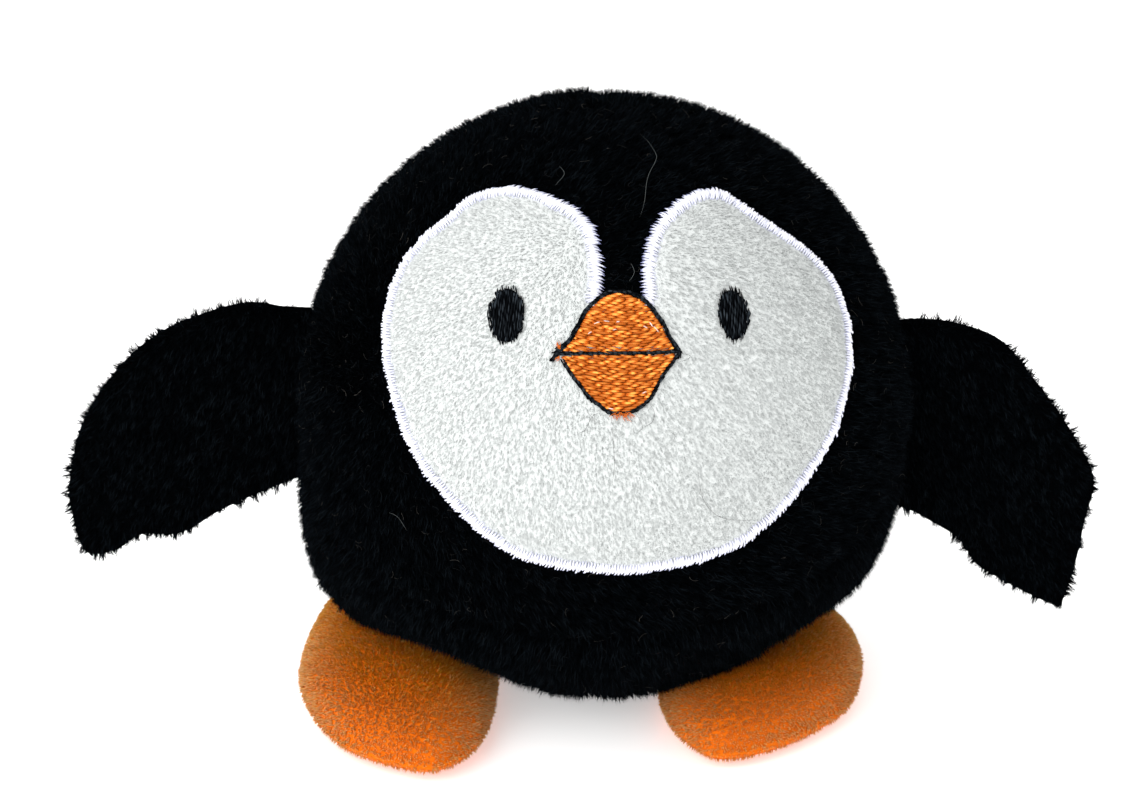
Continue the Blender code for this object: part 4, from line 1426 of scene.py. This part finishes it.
FOOT_TOP = 12 * MM
FOOT_SEAM = 3.6 * MM
FOOT_RINGS, FOOT_TURNS = 22, 96
FOOT_BACK = (-47 * MM, 15 * MM)  # where the right foot's back end bulges up, and how much
FOOT_BACK_RISE = 2.6 * MM
FOOT_BACK_SPREAD = 7 * MM
FEET = {
    # plan outline in mm, toe first, and the way its velour is stroked
    "right": (
        (-31.3, -47.6), (-36.3, -45.6), (-41, -42.8), (-46.4, -38), (-51.1, -29.6), (-54, -21),
        (-55.6, -12), (-55.7, -3), (-54.8, 8.6), (-51.4, 18.2), (-44.5, 22), (-36, 20), (-27, 13), (-21, 3),
        (-19.8, -10), (-20, -25), (-21.3, -35.4), (-23.8, -42), (-27.4, -46.4),
    ),
    "left": (
        (22, -42.6), (26.8, -41), (33.4, -36.6), (39.2, -30.8), (44.4, -24), (47.3, -15), (48.8, -4),
        (48, 7), (44.6, 15.4), (38.5, 19.2), (29, 17), (19.5, 9), (13.5, -4), (11, -17),
        (11.8, -27), (13.2, -32.8), (15.8, -38), (18.8, -42),
    ),
}


def under_ball(x, y):
    """Height of the ball's cloth over the table, at plan places it overhangs, and 1 m elsewhere."""
    across = np.hypot(x, y)
    drop = np.sqrt(np.maximum(COVER_RADIUS ** 2 - across ** 2, 0))
    for _ in range(12):
        ways = unit(np.stack((x, y, -drop), 1))
        drop = 0.5 * drop + 0.5 * np.sqrt(np.maximum(ball_reach(ways) ** 2 - across ** 2, 0))
    return np.where(drop > 2 * MM, BALL_RADIUS - drop, 1)


velour_cloth = cloth_material("orange_backing_cloth", (0.80, 0.14, 0.002), (0.92, 0.20, 0.005), 900, 0.9)
# Darker at the roots as painted shade; the pale peach is painted sheen on the rims and painted glints on some
# tips.
velour_pile = pile_material(
    "orange_velour_pile", (0.84, 0.165, 0.001), (1.0, 0.275, 0.010), (1.0, 0.50, 0.22),
    420, 0.3, 0.8, 0.9, 0.02, clearness=0.5, glow=(1, 0.6, 0.4),
)
velour_shader = velour_pile.node_tree.nodes["Principled BSDF"]
velour_shader.inputs["Sheen Weight"].default_value = 0.15
velour_shader.inputs["Sheen Roughness"].default_value = 0.4
velour_shader.inputs["Sheen Tint"].default_value = (1, 0.72, 0.5, 1)


def foot_net(outline):
    """Plan places in metres, the share of the way to the rim, and the faces of a net of rings."""
    rim, _, _ = stations(smooth_line(outline, 6, closed=True), 0.5, closed=True)
    rim = rim[np.linspace(0, len(rim), FOOT_TURNS, endpoint=False).astype(int)] * MM
    centre = rim.mean(0)
    rings = np.linspace(0, 1, FOOT_RINGS + 1)[1:] ** 0.8
    plan = np.concatenate(([centre], *(centre + ring * (rim - centre) for ring in rings)))
    shares = np.concatenate(([0.0], *(np.full(FOOT_TURNS, ring) for ring in rings)))
    faces = []
    for turn in range(FOOT_TURNS):
        beside = (turn + 1) % FOOT_TURNS
        faces.append((0, 1 + turn, 1 + beside))
        for ring in range(FOOT_RINGS - 1):
            start = 1 + ring * FOOT_TURNS
            below = start + FOOT_TURNS
            faces.append((start + turn, below + turn, below + beside, start + beside))
    return plan, shares, faces, centre


def pad_mesh(name, plan, upper, lower):
    """A closed pad between two heights over the foot's net, a little smaller than the foot."""
    rim = share > 0.999
    plan = centre + (plan - centre) * 0.92
    upper = np.where(rim, (np.maximum(upper, lower) + lower) / 2, np.maximum(upper, lower + 0.3 * MM))
    count = len(plan)
    low_number = np.where(rim, np.arange(count), np.arange(count) + count)
    faces = [tuple(face) for face in foot_faces]
    faces += [tuple(low_number[list(reversed(face))]) for face in foot_faces]
    places = np.concatenate((np.column_stack((plan, upper)), np.column_stack((plan, lower))))
    places, faces = only_used(places, faces)
    return cloth_mesh(name, places, faces, outward=places - (*centre, 5 * MM))


for side, outline in FEET.items():
    plan, share, foot_faces, centre = foot_net(outline)
    x, y = plan.T
    toe = unit(np.array((outline[0], )) * MM - centre)[0]
    radial = np.column_stack((unit(plan - centre), np.zeros(len(plan))))
    room = under_ball(x, y)
    for layer, node in (("top", "top_panel"), ("sole", "sole")):
        if layer == "top":
            z = FOOT_SEAM + (FOOT_TOP - 1.2 * MM - FOOT_SEAM) * (1 - share ** 2.8) ** (1 / 2.1)
            from_back = (x - FOOT_BACK[0]) ** 2 + (y - FOOT_BACK[1]) ** 2
            z = z + FOOT_BACK_RISE * np.exp(-from_back / FOOT_BACK_SPREAD ** 2)
            z = np.minimum(z, room - 1.0 * MM)
            z = np.maximum(z, 0.5 * MM + FOOT_SEAM * 0.5)
            upper = z
        else:
            z = FOOT_SEAM - (FOOT_SEAM - 0.4 * MM) * (1 - share ** 5) ** (1 / 3)
        swell = 0.12 * MM * np.sin(x * 900 + y * 300) * np.sin(y * 700 - x * 250)
        seam_ridge = 0.35 * MM * np.exp(-(((1 - share) / 0.012) ** 2))
        places = np.column_stack((x, y, z + swell * (1 - share))) + radial * seam_ridge[:, None]
        facing = np.tile(np.array((0, 0, 1.0 if layer == "top" else -1.0)), (len(x), 1))
        name = f"{side}_foot_{layer}"
        piece = skin_piece(
            name + "_velour", cloth_mesh(name + "_velour", places, foot_faces, facing), velour_cloth, 0.7 * MM
        )
        lie = unit(radial * 0.6 + np.array((*toe, -0.25)))
        squeezed = np.clip((room - z - 0.5 * MM) / (2.5 * MM), 0.2, 1)
        long = squeezed if layer == "top" else np.where(share > 0.9, 0.8, 0.35)
        forward = np.clip(((plan - centre) @ toe) / (30 * MM), -1, 1)
        # Paler towards the front of the rim: painted sheen where the velour turns away.
        lift = np.clip((share - 0.55) / 0.4, 0, 1) * np.clip(0.55 + 0.6 * forward, 0, 1) * 0.75
        bed = cloth_mesh(name + "_pile", places, foot_faces, facing, comb=lie, long=long, lift=lift)
        hair = made_by(
            pile, name + "_pile", bed, Seed=130 + len(name), Material=velour_pile,
            Hairs_per_mm2=10.0 if layer == "top" else 3.0, Length=1.0 * MM, Width=0.13 * MM,
            Lean=0.8, Ruffle=0.3, Swirl=0.25, Swirl_Scale=250.0,
            Tufts_per_mm2=1.3, Tuft_Pull=0.25, Tuft_Relief=0.15,
        )
        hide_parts(f"{side}_foot_{node}")
        for made in (piece, hair):
            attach(made, f"{side}_foot")
    filling = pad_mesh(f"{side}_foot_filling", plan, upper - 1.1 * MM, np.full(len(x), 1.6 * MM))
    filling = add_piece(f"{side}_foot_filling", filling, fibre_fill)
    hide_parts(f"{side}_foot_stuffing")
    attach(filling, f"{side}_foot")


# ---------------------------------------------------------------- closing stitch
# After stuffing, the centre-back seam is closed by hand with black thread, in short stitches that
# step from one side of the seam to the other.

CLOSING_STITCHES = 12
CLOSING_RISES = np.radians(np.linspace(28, -2, CLOSING_STITCHES + 1))


def behind(offset, rise):
    """Unit directions to places that far beside the centre-back seam, at those rises over the middle."""
    x = np.full(len(rise), CENTRE_SEAM_X + offset) / COVER_RADIUS
    flat = np.sqrt(1 - x ** 2)
    return np.column_stack((x, np.cos(rise) * flat, np.sin(rise) * flat))


left_ways = behind(0.9 * MM, CLOSING_RISES)
right_ways = behind(-0.9 * MM, CLOSING_RISES)
from_ways = np.concatenate((right_ways[:-1], left_ways[:-1]))
to_ways = np.concatenate((left_ways[:-1], right_ways[1:]))
closing = threads_over(
    "closing_thread", np.concatenate((from_ways, to_ways)), 1.6 * MM, black_thread, 95,
    Thickness=0.5 * MM, Rise=0.3 * MM, Overlap=1.0, Turn=0.05,
)
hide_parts("closing_stitch")
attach(closing, "body")


# ---------------------------------------------------------------- care label
# A blank white satin ribbon, folded in half, with both ends sewn into the centre-back seam.

LABEL_LENGTH = 18 * MM
LABEL_HEIGHT = 14 * MM
LABEL_GAP = 0.25 * MM
LABEL_THICKNESS = 0.12 * MM
LABEL_ANGLE = math.radians(12)
LABEL_BOW = 0.9 * MM
LEAF_STEPS, FOLD_STEPS = 12, 8

label_satin, label_tree, label_shader = new_material("label_satin", 0.35, 0.4)
label_place = add_node(label_tree, "ShaderNodeTexCoord").outputs["Object"]
label_weave = add_node(
    label_tree, "ShaderNodeTexWave", {"bands_direction": "Z"},
    {"Vector": label_place, "Scale": 1200.0, "Distortion": 0.4},
).outputs["Fac"]
two_shades(label_tree, label_shader, label_weave, (0.50, 0.50, 0.51), (0.62, 0.62, 0.61))
label_bump = add_node(
    label_tree, "ShaderNodeBump", inputs={"Strength": 0.15, "Distance": 0.0001, "Height": label_weave}
)
label_tree.links.new(label_bump.outputs["Normal"], label_shader.inputs["Normal"])

label_low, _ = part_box("care_label")
label_root = np.array((label_low.x, label_low.y + 0.3 * MM, label_low.z))
label_out = np.array((math.cos(LABEL_ANGLE), math.sin(LABEL_ANGLE), 0))
label_side = np.array((-math.sin(LABEL_ANGLE), math.cos(LABEL_ANGLE), 0))
fold_turns = np.linspace(-math.pi / 2, math.pi / 2, FOLD_STEPS)
leaf = np.linspace(0, LABEL_LENGTH - LABEL_GAP, LEAF_STEPS)
ribbon = np.concatenate((
    np.column_stack((leaf, np.full(LEAF_STEPS, -LABEL_GAP))),
    np.column_stack((leaf[-1] + LABEL_GAP * np.cos(fold_turns), LABEL_GAP * np.sin(fold_turns)))[1:-1],
    np.column_stack((leaf[::-1], np.full(LEAF_STEPS, LABEL_GAP))),
))
label_rows = np.linspace(0, LABEL_HEIGHT, 9)
label_places, label_faces = [], []
for rise in label_rows:
    for out, aside in ribbon:
        bow = LABEL_BOW * math.sin(out / LABEL_LENGTH * 2.4) * (0.7 + 0.6 * rise / LABEL_HEIGHT)
        label_places.append(label_root + label_out * out + label_side * (aside + bow) + (0, 0, rise))
for row in range(len(label_rows) - 1):
    for step in range(len(ribbon) - 1):
        first = row * len(ribbon) + step
        label_faces.append((first, first + 1, first + 1 + len(ribbon), first + len(ribbon)))
label_places = np.array(label_places)
label_facing = np.tile(-label_side, (len(label_places), 1))
label = skin_piece(
    "blank_label", cloth_mesh("blank_label", label_places, label_faces, label_facing),
    label_satin, LABEL_THICKNESS,
)
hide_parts("care_label")
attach(label, "label")


# ---------------------------------------------------------------- stray fibres
# Loose fibres and lint cling to the plush: short curls all over the black, a few long hairs on the
# forehead and under the beak, and a wisp of orange thread at the beak's lowest point.

def lint_tree():
    """Scatters short curled fibres over a mesh."""
    tree, given, end = new_tree("lint", (
        ("Curls per mm2", "Float", 0.1), ("Lift", "Float", 1.5 * MM), ("Size", "Float", 1.0 * MM),
        ("Thickness", "Float", 0.022 * MM), ("Seed", "Int", 1), ("Material", "Material", None),
    ))
    roots = scattered(tree, given["Geometry"], given["Curls per mm2"], given["Seed"])
    raised = stored(tree, roots["Points"], "cloth_way", "FLOAT_VECTOR", "POINT", roots["Normal"])
    outward = mark(tree, "cloth_way", "FLOAT_VECTOR")
    height = calculate(tree, "MULTIPLY", given["Lift"], random_number(tree, 0.6, 1.15, 2))
    raised = add_node(tree, "GeometryNodeSetPosition", inputs={
        "Geometry": raised, "Offset": vector(tree, "SCALE", outward, scale=height),
    }).outputs[0]
    arc = add_node(tree, "GeometryNodeCurveArc", {"mode": "RADIUS"}, {
        "Resolution": 5, "Radius": given["Size"], "Start Angle": 0.0, "Sweep Angle": 2.1,
    }).outputs["Curve"]
    section = add_node(
        tree, "GeometryNodeCurvePrimitiveCircle", {"mode": "RADIUS"},
        {"Resolution": 3, "Radius": given["Thickness"]},
    ).outputs["Curve"]
    fibre = add_node(
        tree, "GeometryNodeCurveToMesh", inputs={"Curve": arc, "Profile Curve": section, "Fill Caps": True}
    ).outputs[0]
    laid = add_node(
        tree, "FunctionNodeAlignRotationToVector", {"axis": "Z"}, {"Rotation": (0, 0, 0), "Vector": outward}
    ).outputs[0]
    tumble = as_rotation(tree, combined(
        tree, X=random_number(tree, -0.5, 0.5, 4), Y=random_number(tree, -0.5, 0.5, 6),
        Z=random_number(tree, 0.0, math.tau, 8),
    ))
    laid = add_node(
        tree, "FunctionNodeRotateRotation", {"rotation_space": "LOCAL"}, {0: laid, 1: tumble}
    ).outputs[0]
    size = combined(
        tree, X=random_number(tree, 0.4, 1.3, 10), Y=random_number(tree, 0.25, 1.0, 12), Z=1.0
    )
    marks = (("tone", "FLOAT", random_number(tree, 0.0, 1.0, 13)),)
    return set_out(
        tree, end, given["Material"], marks, Points=raised, Instance=fibre, Rotation=laid, Scale=size
    )


lint = lint_tree()
lint_grey, lint_shades, lint_shader = new_material("grey_lint", 0.8, 0.05)
lint_tone = add_node(lint_shades, "ShaderNodeAttribute", {"attribute_name": "tone"})
lint_ramp = two_shades(
    lint_shades, lint_shader, lint_tone.outputs["Fac"], (0.004, 0.005, 0.006), (0.10, 0.09, 0.08)
)
lint_ramp.elements.new(0.82).color = (0.018, 0.019, 0.020, 1)

lint_faces = [face for face, hidden in zip(front_faces, bare_front) if not hidden]
body_lint = made_by(
    lint, "body_lint", cloth_mesh("body_lint", *only_used(on_ball(front_ways), lint_faces)),
    Seed=7, Material=lint_grey, Curls_per_mm2=0.13,
)
side_lint = made_by(
    lint, "side_lint", cloth_mesh("side_lint", *panel_arrays(~is_front & ~is_base)),
    Seed=9, Material=lint_grey, Curls_per_mm2=0.06,
)


def strands(name, lines, thickness, material):
    """Thin pointed fibres along lines in space, as one closed mesh."""
    points, faces = [], []
    for line in lines:
        line = np.array(line)
        run = unit(np.gradient(line, axis=0))
        across = unit(np.cross(run, unit(line - middle)))
        over = np.cross(run, across)
        start = len(points)
        points.append(line[0])
        for step in range(1, len(line) - 1):
            share = step / (len(line) - 1)
            radius = thickness / 2 * min(1, 4 * share, 4 * (1 - share))
            for angle in (0, math.tau / 3, 2 * math.tau / 3):
                sideways = math.cos(angle) * across[step] + math.sin(angle) * over[step]
                points.append(line[step] + radius * sideways)
        points.append(line[-1])
        last = len(points) - 1
        for corner in range(3):
            beside = (corner + 1) % 3
            faces.append((start, start + 1 + beside, start + 1 + corner))
            faces.append((last, last - 3 + corner, last - 3 + beside))
            for ring in range(len(line) - 3):
                first = start + 1 + ring * 3
                faces.append((first + corner, first + beside, first + 3 + beside, first + 3 + corner))
    return closed_piece(name, points, faces, material)


def over_face(points, height):
    """A smooth line in space through pattern points, that far over the ball's cloth."""
    return on_ball(pattern_ways(smooth_line(points, 5)), height)


def plain_fibre(name, roughness, colour):
    made, _, shader = new_material(name, roughness, 0.1)
    shader.inputs["Base Color"].default_value = (*colour, 1)
    return made


hair_pale = plain_fibre("pale_hair", 0.6, (0.10, 0.11, 0.11))
hair_dark = plain_fibre("dark_hair", 0.6, (0.05, 0.045, 0.045))
wisp_orange = plain_fibre("orange_wisp", 0.7, (0.62, 0.14, 0.02))

PALE_HAIRS = (
    ((5.9, 50.3), (8.3, 45.1), (8, 42.6), (6.2, 38.7), (5.2, 33.6), (4.2, 30.4)),
    ((-9.6, 42.4), (-8.6, 40), (-10.3, 37.4)),
    ((2.1, 21.9), (2.6, 20.1), (1.6, 18.5)),
    ((-42.8, -20.9), (-40.6, -21.9), (-38.9, -24.3)),
)
DARK_HAIRS = (
    ((-5.6, -1.2), (-5.5, -2.5), (-4.6, -3.6), (-4.4, -4.7)),
    ((2.1, -2.6), (3, -4.1), (3.3, -5.2), (2.4, -6)),
    ((4.6, -1.4), (5.3, -2.7), (4.9, -4.3), (3.3, -5.2)),
    ((9.6, 6.9), (11.4, 6.5), (11, 5.8), (9.2, 5.4)),
    ((12.4, -11.2), (13.7, -17.5), (17.1, -21), (22.9, -22)),
    ((-1.7, -3.8), (-1.3, -10.8), (-1.8, -14.9)),
    ((-3.4, -2.6), (-4.8, -3.2), (-6, -5.4), (-7.2, -6)),
    ((8, -6), (8.7, -6.6), (8.4, -7.5)),
)
pale_hairs = strands("pale_hairs", [over_face(line, 3.0 * MM) for line in PALE_HAIRS], 0.07 * MM, hair_pale)
dark_hairs = strands("dark_hairs", [over_face(line, 1.9 * MM) for line in DARK_HAIRS], 0.075 * MM, hair_dark)
WISPS = (
    # where they start, how far they reach, how many there are, and whether they fan out to both sides
    ((0, -2.7), (1.5, -1.5), 26, True), ((-9.9, 8.1), (-0.9, 1.1), 9, False),
    ((-10, 6.6), (-0.8, -0.8), 7, False),
)
wisps = []
for start, spread, count, fanned in WISPS:
    for _ in range(count):
        root = np.array(start) + (dice.uniform(-1.2, 1.2) * fanned, dice.uniform(-0.2, 0.2))
        sideways = dice.uniform(-0.8, 0.8) if fanned else dice.uniform(0.3, 1)
        tip = root + np.array(spread) * (sideways, dice.uniform(0.2, 1))
        bend = (root + tip) / 2 + dice.uniform(-0.25, 0.25, 2)
        wisps.append(over_face((root, bend, tip), 1.7 * MM))
wisp_piece = strands("orange_wisps", wisps, 0.13 * MM, wisp_orange)
for stray in (body_lint, side_lint, pale_hairs, dark_hairs, wisp_piece):
    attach(stray, "body")
